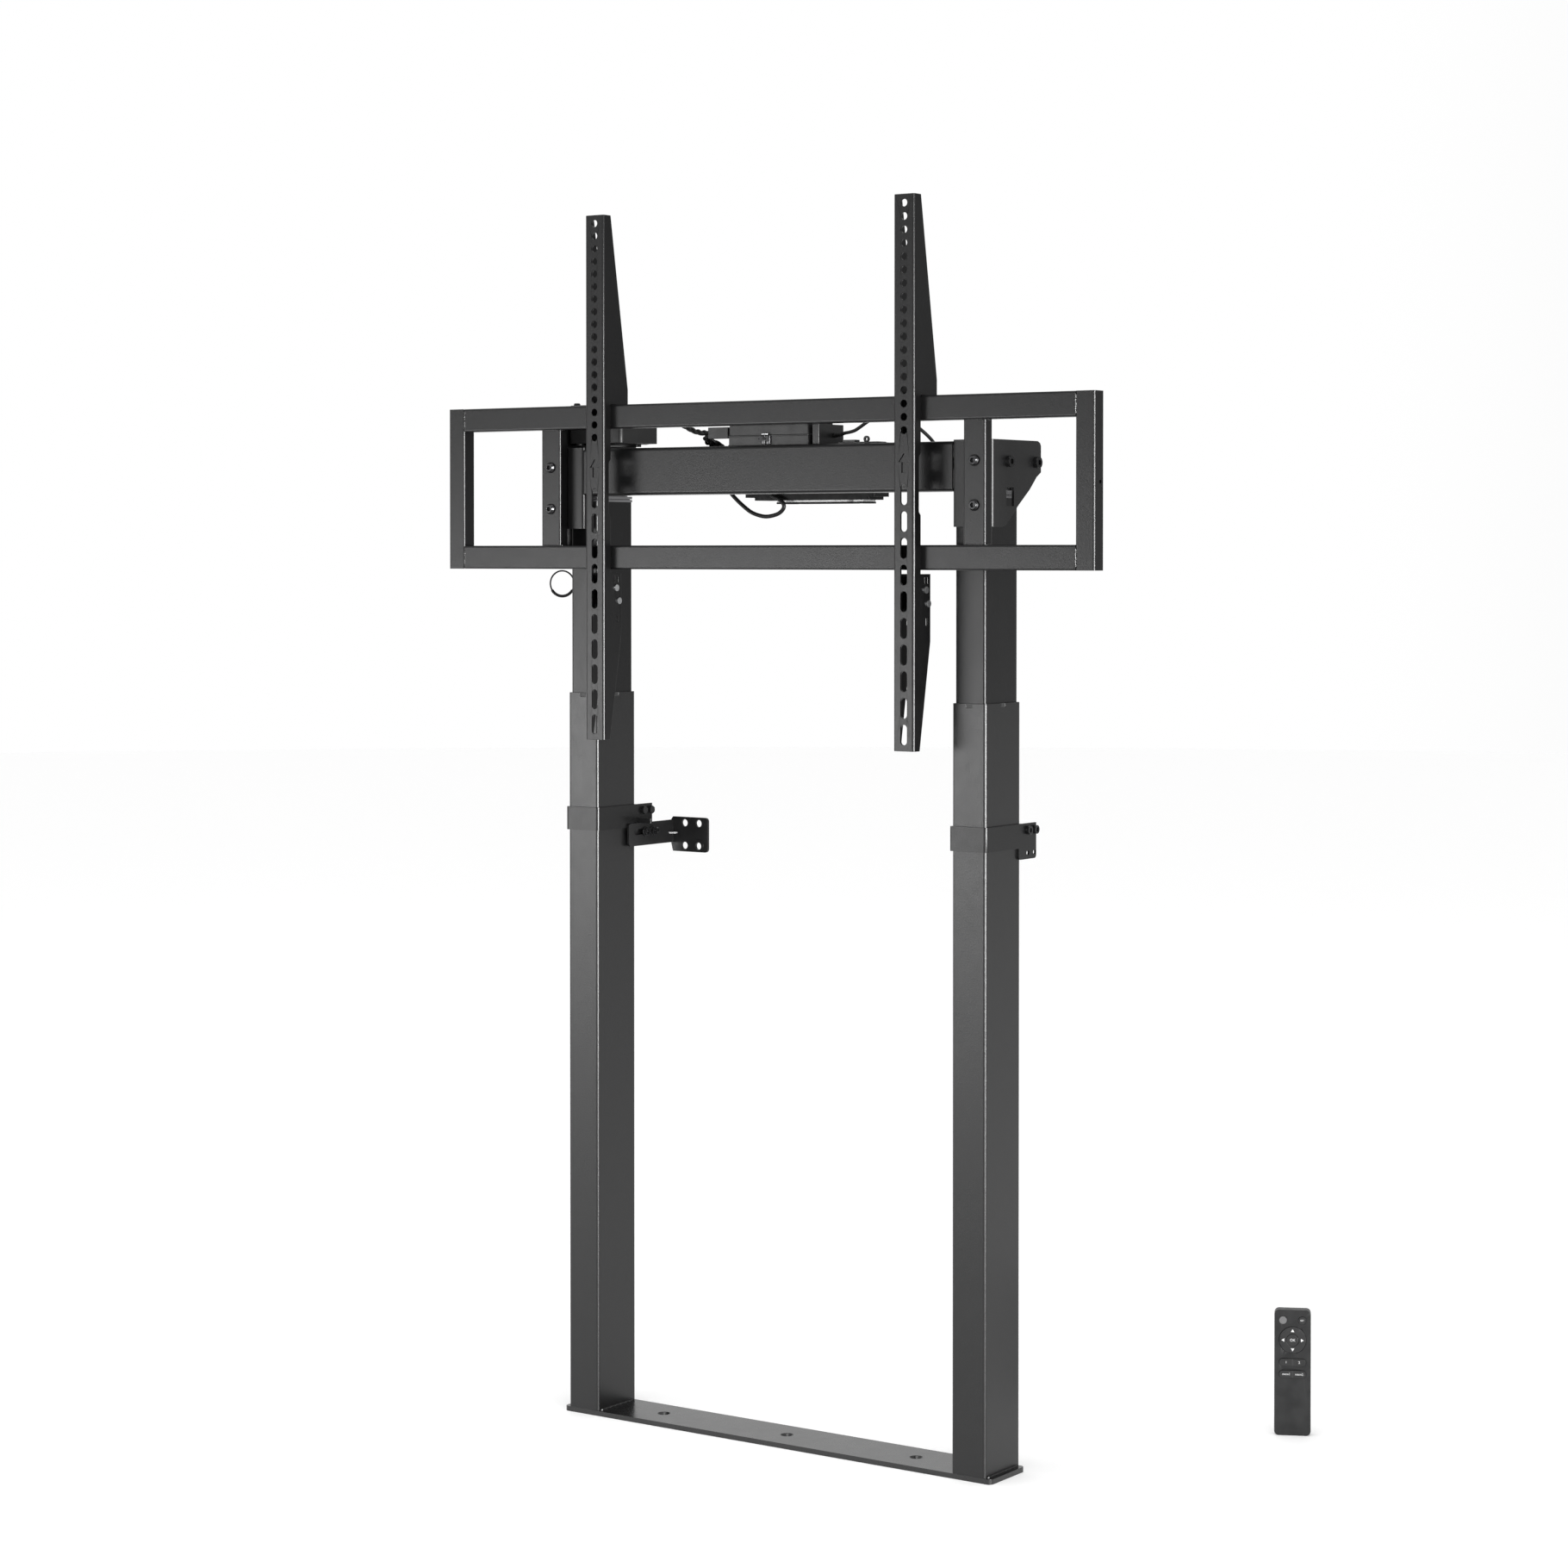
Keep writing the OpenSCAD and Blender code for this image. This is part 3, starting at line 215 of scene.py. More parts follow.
LOOP_LEAD = [
    (-69.55, 6, 1137), (-74, 6, 1137), (-82, 6, 1135.5), (-88, 6, 1131),
    (-88.5, 6, 1125.5), (-85.5, 6, 1121), (-80.9, 6, 1116.5), (-70.2, 6, 1107.7),
    (-56.6, 6, 1098.6), (-43, 6, 1094), (-31.5, 6, 1093), (-18, 6, 1095.7),
    (-10.4, 6, 1100.7), (-8.6, 6, 1106), (-12.6, 6, 1111.3), (-19, 6, 1114.8),
    (-24.6, 6, 1117), (-27, 6, 1119.4), (-27, 6, 1120.95)]
GRIPS = (([(-69.55, 6, 1137), (-74, 6, 1137), (-79, 6, 1136.4)], 3.2),
         ([(-27, 6, 1120.95), (-27, 6, 1118.6), (-25.6, 6, 1116.9)], 3.0),
         ([(75.05, -12, 1186.5), (79.6, -12, 1186.5), (83.4, -14, 1186.6)], 2.9),
         ([(251.95, -11, 1155.5), (247, -11, 1155.5), (242, -11, 1155.9)], 2.9),
         ([(-219.95, -20, 1208), (-214, -20, 1208), (-209, -20.2, 1208)], 3.8))
GRIP_STEPS, GRIP_TAPER = 3, 0.9
SLANT = [0.31, 0.27, 0.91]
MM = 0.001


def smooth_route(route, steps=6):
    """A curve through the points: each span is the cubic whose end slopes are half the
    chord between the neighbours on either side."""
    p = np.array(route, float)
    p = np.vstack([2 * p[0] - p[1], p, 2 * p[-1] - p[-2]])
    t = np.linspace(0, 1, steps, endpoint=False)[:, None, None]
    a, b, c, d = p[:-3], p[1:-2], p[2:-1], p[3:]
    curve = 0.5 * (2 * b + (c - a) * t + (2 * a - 5 * b + 4 * c - d) * t ** 2
                   + (3 * b - a - 3 * c + d) * t ** 3)
    return np.vstack([curve.transpose(1, 0, 2).reshape(-1, 3), p[-2:-1]])


def run_along(line):
    """The distance along a line at each of its points: the sum of the steps so far."""
    return np.r_[0, np.cumsum(np.linalg.norm(np.diff(line, axis=0), axis=1))]


def sleeve(line, radii, sides=14):
    """A round skin carried along a line: each ring is radius times the cosine and sine of
    the angle in the plane square to the line. The side direction starts square to a
    slanting one and is kept from turning by projecting it on from ring to ring."""
    line = np.asarray(line, float)
    along = np.gradient(line, axis=0)
    along /= np.linalg.norm(along, axis=1)[:, None]
    side = np.cross(along[0], SLANT)
    sides_at = []
    for direction in along:
        side = side - direction * side.dot(direction)
        side = side / np.linalg.norm(side)
        sides_at.append(side)
    first = np.array(sides_at)[:, None]
    second = np.cross(along, first[:, 0])[:, None]
    angle = np.linspace(0, 2 * np.pi, sides, endpoint=False)[None, :, None]
    radii = np.broadcast_to(np.asarray(radii, float), (len(line),))[:, None, None]
    return line[:, None] + radii * (np.cos(angle) * first + np.sin(angle) * second)


def skin(grid):
    """A grid in millimetres as a sheet in metres, closed round about and filled at both
    ends."""
    return grid * MM, False, True, True


def strands(route, radius, count, spread, lay=26.0, places=48, opening=9, least=0.15):
    """The wires of one bundle: each runs at spread from the middle line, at an angle that
    turns once in lay millimetres and is taken at the nearest of some places round it. All
    of them close in on that line over the opening at both ends."""
    line = smooth_route(route)
    reach = run_along(line)
    around = sleeve(line, 1.0, places) - line[:, None]
    from_end = np.minimum(reach, reach[-1] - reach)
    open_up = np.clip(from_end / opening, least, 1)[:, None]
    wires = []
    for i in range(count):
        place = np.rint(places * (reach / lay + i / count)).astype(int) % places
        wire = line + spread * open_up * around[np.arange(len(line)), place]
        wires.append(skin(sleeve(wire, radius, 12)))
    return wires


def outward(piece):
    """Merges the doubled points of a closed piece and turns all its faces outwards."""
    work = bmesh.new()
    work.from_mesh(piece.data)
    bmesh.ops.remove_doubles(work, verts=work.verts, dist=1e-7)
    bmesh.ops.recalc_face_normals(work, faces=work.faces)
    work.to_mesh(piece.data)
    work.free()
    return piece


def fitted(name, sheets, material, body, replaced=None, smooth=True):
    """One closed piece from its sheets. It rides on a body, takes its finish from a slot,
    and may stand for a CAD node."""
    made = outward(surface(name, sheets, material, smooth))
    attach(made, body)
    if replaced:
        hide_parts(replaced)


def lead(name, wires, cad_node):
    """The sheathed wires of one solid as one piece."""
    fitted(name, wires, SHEATH, "carriage", cad_node)


lead("motor_lead", strands(MOTOR_LEAD, radius=1.6, count=3, spread=1.9), "control_leads")
lead("switch_lead", [skin(sleeve(smooth_route(SWITCH_LEAD), radii=2.0))], "control_leads")
lead("supply_bundle", strands(SUPPLY_A, radius=1.7, count=3, spread=2.1)
     + strands(SUPPLY_B, radius=1.7, count=3, spread=2.1), "supply_leads")
lead("loop_lead", [skin(sleeve(smooth_route(LOOP_LEAD), radii=2.4))], "supply_leads")
grips = []
for points, r in GRIPS:
    line = smooth_route(points, GRIP_STEPS)
    grips.append(skin(sleeve(line, np.linspace(r, r - GRIP_TAPER, len(line)))))
fitted("lead_grips", grips, SHEATH, "carriage")

# Cable ring: a spare end of thin cable rolled to one small loop and pushed into a clip
# on the left inner column, with a thicker sleeve round its lower part.
RING_AT, RING_TURN, RING_R = np.array([-322, -20, 1012.4]), math.radians(18), 15.5
RING_WIRE, RING_SLEEVE, SLEEVE_RIM = 1.0, 1.8, 1.3


def ring_line(a0, a1, count):
    """Part of a circle in an upright plane turned a little towards the right: radius times
    cosine along the level direction and sine upwards."""
    a = np.radians(np.linspace(a0, a1, count))[:, None]
    level = np.array([math.cos(RING_TURN), math.sin(RING_TURN), 0])
    return RING_AT + RING_R * (np.cos(a) * level + np.sin(a) * np.array([0, 0, 1]))


loop = sleeve(ring_line(0, 360, 73), RING_WIRE, 12)[:-1]
sleeve_radii = np.r_[SLEEVE_RIM, [RING_SLEEVE] * 29, SLEEVE_RIM]
fitted("cable_ring_loop", [(loop * MM, True, True, False),
                           skin(sleeve(ring_line(-150, -30, 31), sleeve_radii))],
       SHEATH, "carriage", "cable_ring")

# Floor plate and outer columns: cut steel plate and thin rectangular tube, welded at the
# feet and coated with satin black powder. The coat has a fine orange-peel skin, and
# catches a thin bright line where it rounds an edge.
BLACK, DEEP_BLACK = (0.005, 0.005, 0.0053), (0.0045, 0.0045, 0.0048)
COLUMN_X, OUTER_HALF, FOOT_BEAD_HALF, BEAD_Z = 276, 22.5, 33, 6.2
JOIN_WITHIN, ROUNDED_FROM = 0.000005, math.radians(32)


def powder(name, black, rough, depth, specular, stretch=(1, 1, 1)):
    """Powder coat: the made surface with a skin of 1/700 metre, faint clouds in its black
    and an even gloss."""
    return finish(name, black, rough, grain=700, depth=depth, cloud=0.05, spread=0.015,
                  stretch=stretch, specular=specular)


POWDER = powder("black_powder_coat", BLACK, 0.32, depth=0.00014, specular=0.41)
PLATE_POWDER = powder("plate_powder_coat", BLACK, 0.28, depth=0.00006, specular=0.6)


def dress(name, material, width=0.0, steps=2):
    """Gives a CAD node its finish and, with a width, rounds its sharp edges by that much."""
    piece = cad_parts[name]
    piece.data.materials.clear()
    piece.data.materials.append(material)
    if width:
        join = piece.modifiers.new("join", "WELD")
        join.merge_threshold = JOIN_WITHIN
        rounding = piece.modifiers.new("rounding", "BEVEL")
        rounding.limit_method = "ANGLE"
        rounding.angle_limit = ROUNDED_FROM
        rounding.width = width * MM
        rounding.segments = steps
        rounding.harden_normals = False


def weld_bead(name, paths, radius, pitch, body, material, ripple=0.12, sway=1.7, blunt=0.25):
    """Weld beads: along each path a half-sunk round skin whose radius ripples, as one plus
    the ripple times the cosine of the distance over its pitch, and which sways from side
    to side as the sine of sway times the distance over the pitch. Its ends are blunt."""
    beads = []
    for path in paths:
        p = np.array(path, float)
        reach = run_along(p)
        s = np.arange(0, reach[-1], pitch / 5)
        line = np.stack([np.interp(s, reach, p[:, k]) for k in range(3)], -1)
        line += ripple * radius * np.sin(s * sway / pitch)[:, None]
        ends = np.clip(np.minimum(s, s[-1] - s) / radius, blunt, 1)
        r = radius * ends * (1 + ripple * np.cos(2 * np.pi * s / pitch))
        beads.append(skin(sleeve(line, r, 10)))
    fitted(name, beads, material, body)


dress("base_plate", PLATE_POWDER, 0.6)
dress("outer_column_left", POWDER, 0.3)
dress("outer_column_right", POWDER, 0.3)
foot_lines = [sx * COLUMN_X + edge for sx in (-1, 1) for edge in (-OUTER_HALF, OUTER_HALF)]
weld_bead("foot_welds", [[(x, -FOOT_BEAD_HALF, BEAD_Z), (x, FOOT_BEAD_HALF, BEAD_Z)]
                         for x in foot_lines],
          radius=1.7, pitch=2.6, body="base", material=POWDER)

# Glides: thin black plastic liners, the upper ones clipped into the rims of the outer
# columns with one snap tab in each face, the lower ones round the inner columns' feet.
GLIDE = finish("glide_plastic", (0.014, 0.014, 0.014), 0.5, grain=1500, depth=0.00003)
dress("top_glides", GLIDE)
dress("bottom_glides", GLIDE)

# Wall clamps: a bent steel band round each outer column, a flat bar across its back, and
# black socket screws. A slotted angle with a four-hole tab goes from each to the wall.
SCREW = finish("black_oxide_screw", (0.03, 0.03, 0.031), 0.22, metallic=0.8, grain=1200,
               depth=0.00002, spread=0.03)
BAND_POWDER = powder("band_powder_coat", (0.0035, 0.0035, 0.0037), 0.3, depth=0.00012,
                     specular=0.31)
dress("clamp_bands", BAND_POWDER, 0.4)
dress("clamp_backs", POWDER, 0.3)
dress("clamp_screws", SCREW, 0.25)
dress("wall_bracket_left", POWDER, 0.35)
dress("wall_bracket_right", POWDER, 0.35)

# Spindles: ground steel bars with a four-start thread of 20 mm lead, a plain journal at
# the top, and the nut tube and bronze nut that each runs in.
BAR_STEEL = finish("ground_steel", (0.42, 0.42, 0.42), 0.24, metallic=1, grain=900,
                   depth=0.00001, stretch=(1, 1, 0.02))
ZINC = finish("zinc_plate", (0.4, 0.405, 0.41), 0.32, metallic=1, grain=300, depth=0.00001,
              cloud=0.2)
BRONZE = finish("nut_bronze", (0.5, 0.3, 0.1), 0.3, metallic=1, grain=700, depth=0.00001)
LEAD, STARTS, ROOT_R, THREAD_DEEP, JOURNAL_R = 20.0, 4, 6.9, 1.1, 6.0
THREAD_FOOT, THREAD_TOP, RUN_OUT, TOP_STEP = 200, 1112.6, 6, 0.6
CHAMFER_WIDE, CHAMFER_HIGH = 0.7, 0.8


def threaded(name, x, top, hand, body, cad_node):
    """A threaded bar: the radius at height z and angle a is the root plus a flat-topped wave
    of the phase starts times a minus the turn that the lead gives at that height. At both
    ends of the thread it runs out to the full radius, and above the shoulder it is plain."""
    z = np.arange(THREAD_FOOT, THREAD_TOP, 1.0)
    a = np.linspace(0, 2 * np.pi, 24, endpoint=False)
    phase = STARTS * (a[None] - hand * 2 * np.pi * z[:, None] / LEAD)
    wave = np.clip(0.5 + 0.9 * np.cos(phase), 0, 1)
    from_end = np.minimum(z - THREAD_FOOT, THREAD_TOP - TOP_STEP - z)
    fade = np.clip(from_end / RUN_OUT, 0, 1)[:, None]
    r = ROOT_R + THREAD_DEEP * (1 - fade) + THREAD_DEEP * fade * wave
    rod = np.stack([x + r * np.cos(a), r * np.sin(a), z[:, None] + 0 * a], -1)
    edge = np.array([(JOURNAL_R, THREAD_TOP - 0.2), (JOURNAL_R, THREAD_TOP),
                     (JOURNAL_R, top - CHAMFER_HIGH), (JOURNAL_R - CHAMFER_WIDE, top)])
    r, h = edge[:, :1], edge[:, 1:]
    journal = np.stack([x + r * np.cos(a), r * np.sin(a), h + 0 * a], -1)
    fitted(name, [skin(rod), skin(journal)], BAR_STEEL, body, cad_node)


threaded("threaded_spindle_left", x=-COLUMN_X, top=1195.4, hand=1,
         body="left_spindle", cad_node="spindle_left")
threaded("threaded_spindle_right", x=COLUMN_X, top=1140.4, hand=-1,
         body="right_spindle", cad_node="spindle_right")
dress("nut_tubes", ZINC)
dress("drive_nuts", BRONZE)
dress("spindle_bearings", BAR_STEEL)

# Inner columns: thinner rectangular tube with a black coat that is a little less bright
# than the outer columns' and has its skin drawn out along the tube.
COLUMN_POWDER = powder("column_powder_coat", DEEP_BLACK, 0.3, depth=0.0001, specular=0.27,
                       stretch=(1, 1, 0.3))
dress("inner_column_left", COLUMN_POWDER)
dress("inner_column_right", COLUMN_POWDER)

# Head: the folded crossbeam and two folded head brackets with socket screws, all coated
# steel; zinc-plated base plates and cast gear housings inside, each housing with a lid
# held by pan head screws.
HEAD_POWDER = powder("head_powder_coat", DEEP_BLACK, 0.3, depth=0.00014, specular=0.27)
BRACKET_POWDER = powder("bracket_powder_coat", DEEP_BLACK, 0.42, depth=0.00014, specular=0.33)
CAST = finish("housing_cast", (0.006, 0.006, 0.0063), 0.5, grain=1100, depth=0.00008,
              specular=0.35)
DULL_ZINC = finish("dull_zinc", (0.2, 0.2, 0.205), 0.36, metallic=1, grain=300,
                   depth=0.00001, cloud=0.2)
LID_SCREWS_X, LID_SCREWS_Y, LID_Z = (257, 308), (-25, 24), 1172
ASLANT = [0.21, 0.35, 0.91]
dress("crossbeam", HEAD_POWDER, 0.3)
dress("head_bracket_left", HEAD_POWDER, 0.2)
dress("head_bracket_right", BRACKET_POWDER, 0.2)
dress("head_bolts", SCREW, 0.5)
dress("housing_bases", DULL_ZINC, 0.3)
dress("gear_housings", CAST, 0.8)
dress("housing_caps", CAST, 0.5)


def turned(profile, place, axis, count=20):
    """A turned form: the profile gives radius and height, and each point is the place plus
    the radius times the cosine and sine of the angle in the plane square to the axis plus
    the height along the axis. The angle is counted from a side square to a slanting one."""
    profile = np.asarray(profile, float)
    axis = np.asarray(axis, float) / np.linalg.norm(axis)
    first = np.cross(axis, ASLANT)
    first /= np.linalg.norm(first)
    second = np.cross(axis, first)
    a = np.linspace(0, 2 * np.pi, count, endpoint=False)[None, :, None]
    r, h = profile[:, :1, None], profile[:, 1:, None]
    return skin(np.asarray(place, float) + r * (np.cos(a) * first + np.sin(a) * second)
                + h * axis)


def pan_head(x, y, z, d, high):
    """A pan head screw that stands on a lid, with a round-bottomed socket: the profile goes
    from the socket's floor outwards."""
    profile = [(0.01, high * 0.4), (d * 0.2, high * 0.4), (d * 0.24, high), (d * 0.36, high),
               (d * 0.46, high * 0.78), (d * 0.5, high * 0.4), (d * 0.5, -0.2)]
    return turned(profile, (x, y, z), (0, 0, 1))


fitted("housing_lid_screws", [pan_head(sx * x, y, LID_Z, d=7, high=2.6) for sx in (-1, 1)
                              for y in LID_SCREWS_Y for x in LID_SCREWS_X],
       SCREW, "carriage")

# Tongue and strap of the left head: the foot of the motor's cradle goes on to the right as
# a tongue, and a flat strap hangs beside the column. Both are cut steel sheet with dulled
# edges, coated as the head is.
TONGUE = (-252.4, -193, -38, -29, 1177.1, 1180.6)
STRAP = (-305.6, -296.1, -33.6, -32.1, 1031, 1110)


def rounded_block(x0, x1, y0, y1, z0, z1, r, steps=4):
    """A block with round edges: each point is the corner centre of its octant plus r times
    the direction of its latitude and longitude, with the angles at the octants' borders
    written twice."""
    low, high = np.array([x0, y0, z0], float), np.array([x1, y1, z1], float)
    middle, half = (low + high) / 2, (high - low) / 2 - r
    lat = np.r_[np.linspace(-90, 0, steps), np.linspace(0, 90, steps)]
    up = np.repeat([-1.0, 1.0], steps)
    lon = np.concatenate([np.linspace(q, q + 90, steps) for q in (0, 90, 180, 270)])
    right = np.repeat([1.0, -1.0, -1.0, 1.0], steps)
    rear = np.repeat([1.0, 1.0, -1.0, -1.0], steps)
    lat, lon = np.radians(lat)[:, None], np.radians(lon)[None]
    way = np.stack([np.cos(lat) * np.cos(lon), np.cos(lat) * np.sin(lon),
                    np.sin(lat) + 0 * lon], -1)
    side = np.stack([right + 0 * lat, rear + 0 * lat, up[:, None] + 0 * lon], -1)
    return skin(middle + side * half + r * way)


fitted("cradle_tongue", [rounded_block(*TONGUE, r=0.6)], HEAD_POWDER,
       "carriage")
fitted("column_strap", [rounded_block(*STRAP, r=0.5)], HEAD_POWDER,
       "carriage")

# Gearmotor: a cradle of bent sheet on the left head carries a cast case with a flat lid,
# four lid screws and a parting lip. The round motor, crimped behind, has an end bell with
# a bearing boss and two solder tags.
MOTOR_PAINT = finish("motor_paint", (0.008, 0.008, 0.0083), 0.33, grain=900, depth=0.00005)
CASE_LID = (-299.3, -221.2, -32.8, 39.8, 1226.4, 1229.4)
CASE_LIP = (-300.4, -219.5, -34.5, 41.5, 1212.5, 1214.1)
CASE_SCREWS_X, CASE_SCREWS_Y, CASE_TOP = (-293, -227), (-27, 34), 1229.3
MOTOR_Z, TAG_GAP, TAG_X, TAG_Y, TAG_HALF = 1205, 11, (-279, -273), (87.5, 93.5), 0.5
BELL = [(0.01, 91), (4.4, 91), (5.2, 90.4), (5.6, 89.2), (12.6, 89), (15.6, 88.5),
        (17.4, 87.2), (17.4, 86)]
dress("motor_plate", HEAD_POWDER, 0.4)
dress("motor_gearbox", CAST, 0.8)
dress("motor_can", MOTOR_PAINT, 0.5)
fitted("gear_case_lid",
       [rounded_block(*CASE_LID, r=1.2), rounded_block(*CASE_LIP, r=0.7)]
       + [pan_head(x, y, CASE_TOP, d=8, high=2.8) for y in CASE_SCREWS_Y
          for x in CASE_SCREWS_X],
       CAST, "carriage")
bell = [turned(BELL, place=(-COLUMN_X, 0, MOTOR_Z), axis=(0, 1, 0), count=40)]
for tag_z in (MOTOR_Z - TAG_GAP, MOTOR_Z + TAG_GAP):
    bell.append(rounded_block(*TAG_X, *TAG_Y, tag_z - TAG_HALF, tag_z + TAG_HALF,
                              r=0.3, steps=3))
fitted("motor_end_bell", bell, MOTOR_PAINT, "carriage")

# Gears and shafts: cut steel bevel gears on ground bar, two on the left spindle, one on
# the right, two on the linking shaft and one on the gearmotor's shaft.
GEAR = finish("gear_steel", (0.36, 0.36, 0.365), 0.3, metallic=1, grain=800, depth=0.00001)
for gears in ("spindle_gears_left", "spindle_gear_right", "cross_gears"):
    dress(gears, GEAR, 0.12)
dress("cross_shaft", BAR_STEEL)
dress("motor_shaft", GEAR)

# Screen frame: square tube cut to length, butted, welded and coated. The weld beads show
# as rough upright lines where a rail meets an end tube and where a support meets a rail.
FRAME_POWDER = powder("frame_powder_coat", DEEP_BLACK, 0.29, depth=0.00013, specular=0.27)
WELD = finish("coated_weld", (0.006, 0.006, 0.0063), 0.16, grain=500, depth=0.0003,
              specular=0.6)
FRONT, REAR, RAIL_END, RAIL_HIGH = -72.3, -52.3, 434, 28.3
LOW_RAIL, TOP_RAIL, BEAD_INSET = 1030.4, 1198.5, 2
SUPPORT_X, SUPPORT_HALF, SUPPORT_BEAD_HALF = 301.5, 14.5, 11.5
SUPPORT_FRONT, SUPPORT_SIDE = FRONT + 5, (-66, -56)
dress("frame_rails", FRAME_POWDER)
dress("end_tubes", FRAME_POWDER, 0.2)
dress("support_tubes", FRAME_POWDER, 0.2)
dress("support_screws", SCREW, 0.3)
joints = []
for sx in (-1, 1):
    end, support = sx * RAIL_END, sx * SUPPORT_X
    for low in (LOW_RAIL, TOP_RAIL):
        # The front beads at the right end stand half a millimetre prouder.
        for y in (FRONT + 0.5 - 0.25 * sx, REAR - 0.4):
            joints.append([(end, y, low + BEAD_INSET), (end, y, low + RAIL_HIGH - BEAD_INSET)])
    for level in (LOW_RAIL + RAIL_HIGH, TOP_RAIL):
        joints.append([(support - SUPPORT_BEAD_HALF, SUPPORT_FRONT, level),
                       (support + SUPPORT_BEAD_HALF, SUPPORT_FRONT, level)])
        for x in (support - SUPPORT_HALF, support + SUPPORT_HALF):
            joints.append([(x, y, level) for y in SUPPORT_SIDE])
weld_bead("frame_welds", joints, radius=1.3, pitch=2.4, body="carriage", material=WELD)

# Control box: a moulded tray and lid with an overlapping lip and ribs, held by two black
# screws at the front under a small bent clip. A block with the sockets stands at its
# right end.
MOULD = finish("case_plastic", (0.007, 0.007, 0.0073), 0.4, grain=1300, depth=0.00007,
               specular=0.4)
BOX_LIP = (-52.7, 61.7, -45.7, 8.7, 1185.8, 1187.7)
RIBS, RIB_X, RIB_PITCH, RIB_WIDE, RIB_YZ = 7, -30, 11, 5, (-32, -6, 1220.5, 1222.1)
BOX_SCREWS_X, BOX_SCREWS_Y, BOX_TOP = (-45, 54), (-38, 1), 1221
CLIP_BARS, CLIP_YZ = ((-3.8, 1.4), (2.8, 8.6)), (-47.4, -45.1, 1176.2, 1188)
CLIP_HIGHLIT_TOP = (-4, 5.6, -47.7, -44.6, 1187.4, 1189.8)
dress("control_box", MOULD, 0.6)
dress("control_lid", MOULD, 0.8)
dress("lead_fittings", MOULD, 0.5)
dress("box_fixings", SCREW, 0.3)
lip = [rounded_block(*BOX_LIP, r=0.7)]
for x in range(RIB_X, RIB_X + RIBS * RIB_PITCH, RIB_PITCH):
    lip.append(rounded_block(x, x + RIB_WIDE, *RIB_YZ, r=0.7))
lip.extend(pan_head(x, y, BOX_TOP, d=6, high=1.8) for y in BOX_SCREWS_Y
           for x in BOX_SCREWS_X)
fitted("control_box_lip", lip, MOULD, "carriage")
fitted("control_box_clip", [rounded_block(*bar, *CLIP_YZ, r=0.9) for bar in CLIP_BARS],
       SCREW, "carriage")
# The clip's top piece takes bright zinc plate while its bars are black oxide: this is a
# painted highlight along the top of the clip.
fitted("clip_top_painted_highlight", [rounded_block(*CLIP_HIGHLIT_TOP, r=1.0)], ZINC, "carriage")

# Power unit: a long moulded case behind the crossbeam, hung from two bent straps. Its two
# halves meet in a lip, its rear has vents and its underside has dark feet on pale pads.
UNIT_CASE = finish("unit_plastic", (0.004, 0.004, 0.0042), 0.5, grain=1300, depth=0.00007,
                   specular=0.16)
FOAM = finish("pad_foam", (0.8, 0.8, 0.8), 0.9, grain=2500, depth=0.00005, cloud=0.02)
UNIT_LIP = (-70.4, 115.9, 11.6, 45.4, 1146.2, 1147.8)
FEET, FOOT_YZ = ((-25.7, -11.2), (-2.6, 76), (83.5, 98.4)), (15, 42, 1107.7, 1109.7)
PAD_INSET, PAD_YZ = 0.5, (15.5, 41.5, 1109.5, 1112.6)
VENTS, VENT_X, VENT_PITCH, VENT_WIDE, VENT_YZ = 12, 52, 4.6, 2.4, (44, 46.2, 1153, 1171)
dress("power_unit", UNIT_CASE, 0.8)
fitted("power_unit_pads", [rounded_block(x0 + PAD_INSET, x1 - PAD_INSET, *PAD_YZ, r=0.4)
                           for x0, x1 in FEET], FOAM, "carriage")
trim = [rounded_block(*UNIT_LIP, r=0.7)]
trim.extend(rounded_block(*foot, *FOOT_YZ, r=0.5) for foot in FEET)
for i in range(VENTS):
    x = VENT_X + VENT_PITCH * i
    trim.append(rounded_block(x, x + VENT_WIDE, *VENT_YZ, r=0.9, steps=3))
fitted("power_unit_trim", trim, UNIT_CASE, "carriage")

# Screen arms: folded channels with a row of round holes, an arrow cut-out and a row of
# slots, hooked over the top rail. A latch plate with zinc rivets holds each at the foot,
# and a small tab backs the lowest round hole.
ARM_X = {"left": -220, "right": 220}
TAB_HALF, TAB_YZ = 11.5, (-75.9, -73.4, 1181.5, 1198.2)
for side, x in ARM_X.items():
    dress("arm_" + side, FRAME_POWDER, 0.35)
    dress("arm_latch_" + side, FRAME_POWDER, 0.2)
    dress("arm_fasteners_" + side, ZINC, 0.4)
    fitted("arm_tab_" + side, [rounded_block(x - TAB_HALF, x + TAB_HALF, *TAB_YZ, r=0.6)],
           FRAME_POWDER, side + "_arm")

# Handset: two satin charcoal shells, a battery door at the back, soft keys with a dark
# gap all round, one of them lighter, and white printed marks.
SHELL = finish("handset_shell", (0.013, 0.0133, 0.0137), 0.38, grain=1600, depth=0.00003,
               cloud=0.05, specular=0.2)
KEY = finish("handset_key", (0.009, 0.0093, 0.0096), 0.48, grain=1600, depth=0.00003,
             cloud=0.05, specular=0.2)
PALE_KEY = finish("handset_pale_key", (0.13, 0.13, 0.132), 0.4, grain=1600, depth=0.00003,
                  cloud=0.05)
PRINT = finish("white_print", (0.8, 0.8, 0.8), 0.5, grain=2500, depth=0.00001, cloud=0.02)
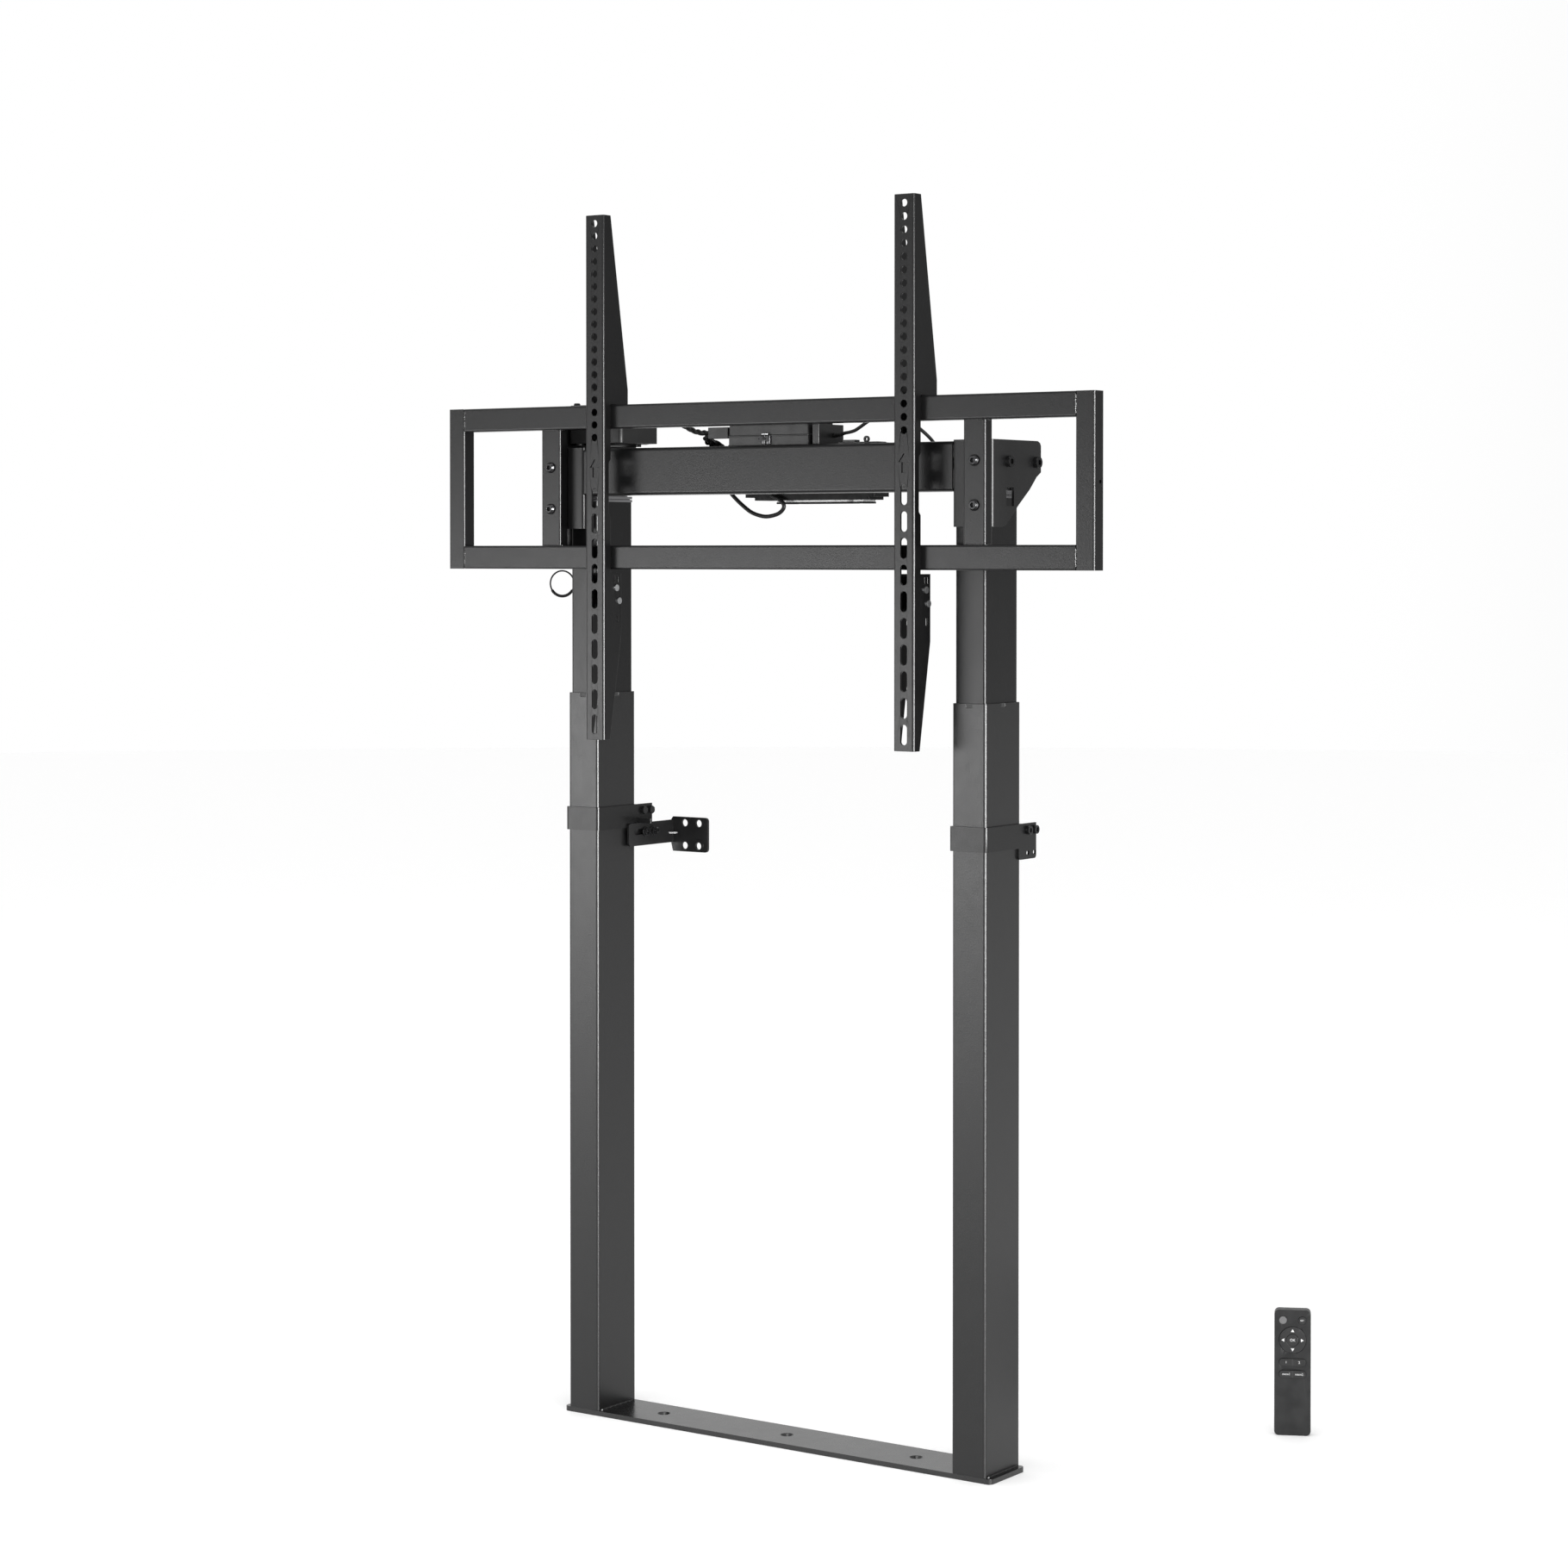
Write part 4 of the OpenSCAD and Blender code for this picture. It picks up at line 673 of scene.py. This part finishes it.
# The key_groove_painted_shade finish is painted shade: a near-black colour for the groove that
# splits each rocker key.
GROOVE_SHADE = finish("key_groove_painted_shade", (0.003, 0.003, 0.003), 0.6, grain=1600, depth=0.00001)
BOARD = finish("circuit_board", (0.01, 0.06, 0.03), 0.35, grain=600, depth=0.00002)
HAND_AT, HAND_TURN = np.array([478.6, 366.5, 0.0]), math.radians(26.7)
KEY_FACE, OK_FACE, INK_HALF = -8.0, -8.2, 0.03
RING_Z, UPPER_Z, LOWER_Z = 114, 87.5, 73.4
ARROW, ARROW_OUT = np.array([(-2.05, -1.5), (2.05, -1.5), (0, 1.9)]), (0, 11.3)
DIVIDER = np.array([(-0.2, -4.2), (0.2, -4.2), (0.2, 4.2), (-0.2, 4.2)])
dress("handset_front", SHELL, 0.9, 3)
dress("handset_back", SHELL, 0.9, 3)
dress("handset_door", SHELL, 0.25)
dress("handset_board", BOARD)
for part in ("ring", "ok", "key_set", "rocker_upper", "rocker_lower"):
    dress("handset_" + part, KEY, 0.3)
dress("handset_key_plain", PALE_KEY, 0.3)


def on_handset(points):
    """Handset points, right of its middle, behind its middle and above its foot in mm,
    turned about the upright axis by the handset's angle and moved to its place, in
    metres."""
    x, y, z = points[..., 0], points[..., 1], points[..., 2]
    c, d = math.cos(HAND_TURN), math.sin(HAND_TURN)
    return (np.stack([c * x - d * y, d * x + c * y, z], -1) + HAND_AT) * MM


def printed(name, words, high, x, z, body, face=KEY_FACE):
    """A printed word: the font's outlines as a thin mesh, laid on the key's front face."""
    letters = bpy.data.curves.new(name, "FONT")
    letters.body = words
    letters.size = high / 0.7
    letters.align_x = letters.align_y = "CENTER"
    letters.extrude = INK_HALF
    mesh = bpy.data.meshes.new_from_object(bpy.data.objects.new(name + "_outline", letters))
    flat = np.empty(len(mesh.vertices) * 3)
    mesh.vertices.foreach_get("co", flat)
    flat = flat.reshape(-1, 3)
    laid = on_handset(np.stack([flat[:, 0] + x, face - flat[:, 2], flat[:, 1] + z], -1))
    mesh.vertices.foreach_set("co", laid.ravel())
    mesh.materials.clear()
    mesh.materials.append(PRINT)
    made = bpy.data.objects.new(name, mesh)
    bpy.context.scene.collection.objects.link(made)
    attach(made, body)


def inlay(name, outlines, material, body):
    """Thin filled outlines on the key's front face: each is one ring of points in front and
    one behind."""
    sheets = []
    for flat in outlines:
        rings = [np.stack([flat[:, 0], 0 * flat[:, 0] + KEY_FACE + out, flat[:, 1]], -1)
                 for out in (-INK_HALF, INK_HALF)]
        sheets.append((on_handset(np.stack(rings)), False, True, True))
    fitted(name, sheets, material, body, smooth=False)


arrows = []
for quarter in range(4):
    c, d = math.cos(quarter * math.pi / 2), math.sin(quarter * math.pi / 2)
    out = ARROW + ARROW_OUT
    arrows.append(np.stack([c * out[:, 0] - d * out[:, 1],
                            d * out[:, 0] + c * out[:, 1] + RING_Z], -1))
inlay("ring_arrows", arrows, PRINT, "ring_key")
printed("mark_ok", "OK", 3.1, 0, RING_Z, "ok_key", OK_FACE)
printed("mark_set", "SET", 2.0, 11.35, 137.6, "set_key")
printed("mark_one", "1", 2.9, -7.6, UPPER_Z, "upper_rocker")
printed("mark_two", "2", 2.9, 8.0, UPPER_Z, "upper_rocker")
printed("mark_mem_one", "mem1", 2.7, -7.4, LOWER_Z, "lower_rocker")
printed("mark_mem_two", "mem2", 2.7, 7.8, LOWER_Z, "lower_rocker")
# Each rocker's split is a flat near-black strip laid on the key face, painted shade in place
# of the groove's depth.
for body, z in (("upper_rocker", UPPER_Z), ("lower_rocker", LOWER_Z)):
    inlay(body + "_divider_painted_shade", [DIVIDER + (0, z)], GROOVE_SHADE, body)
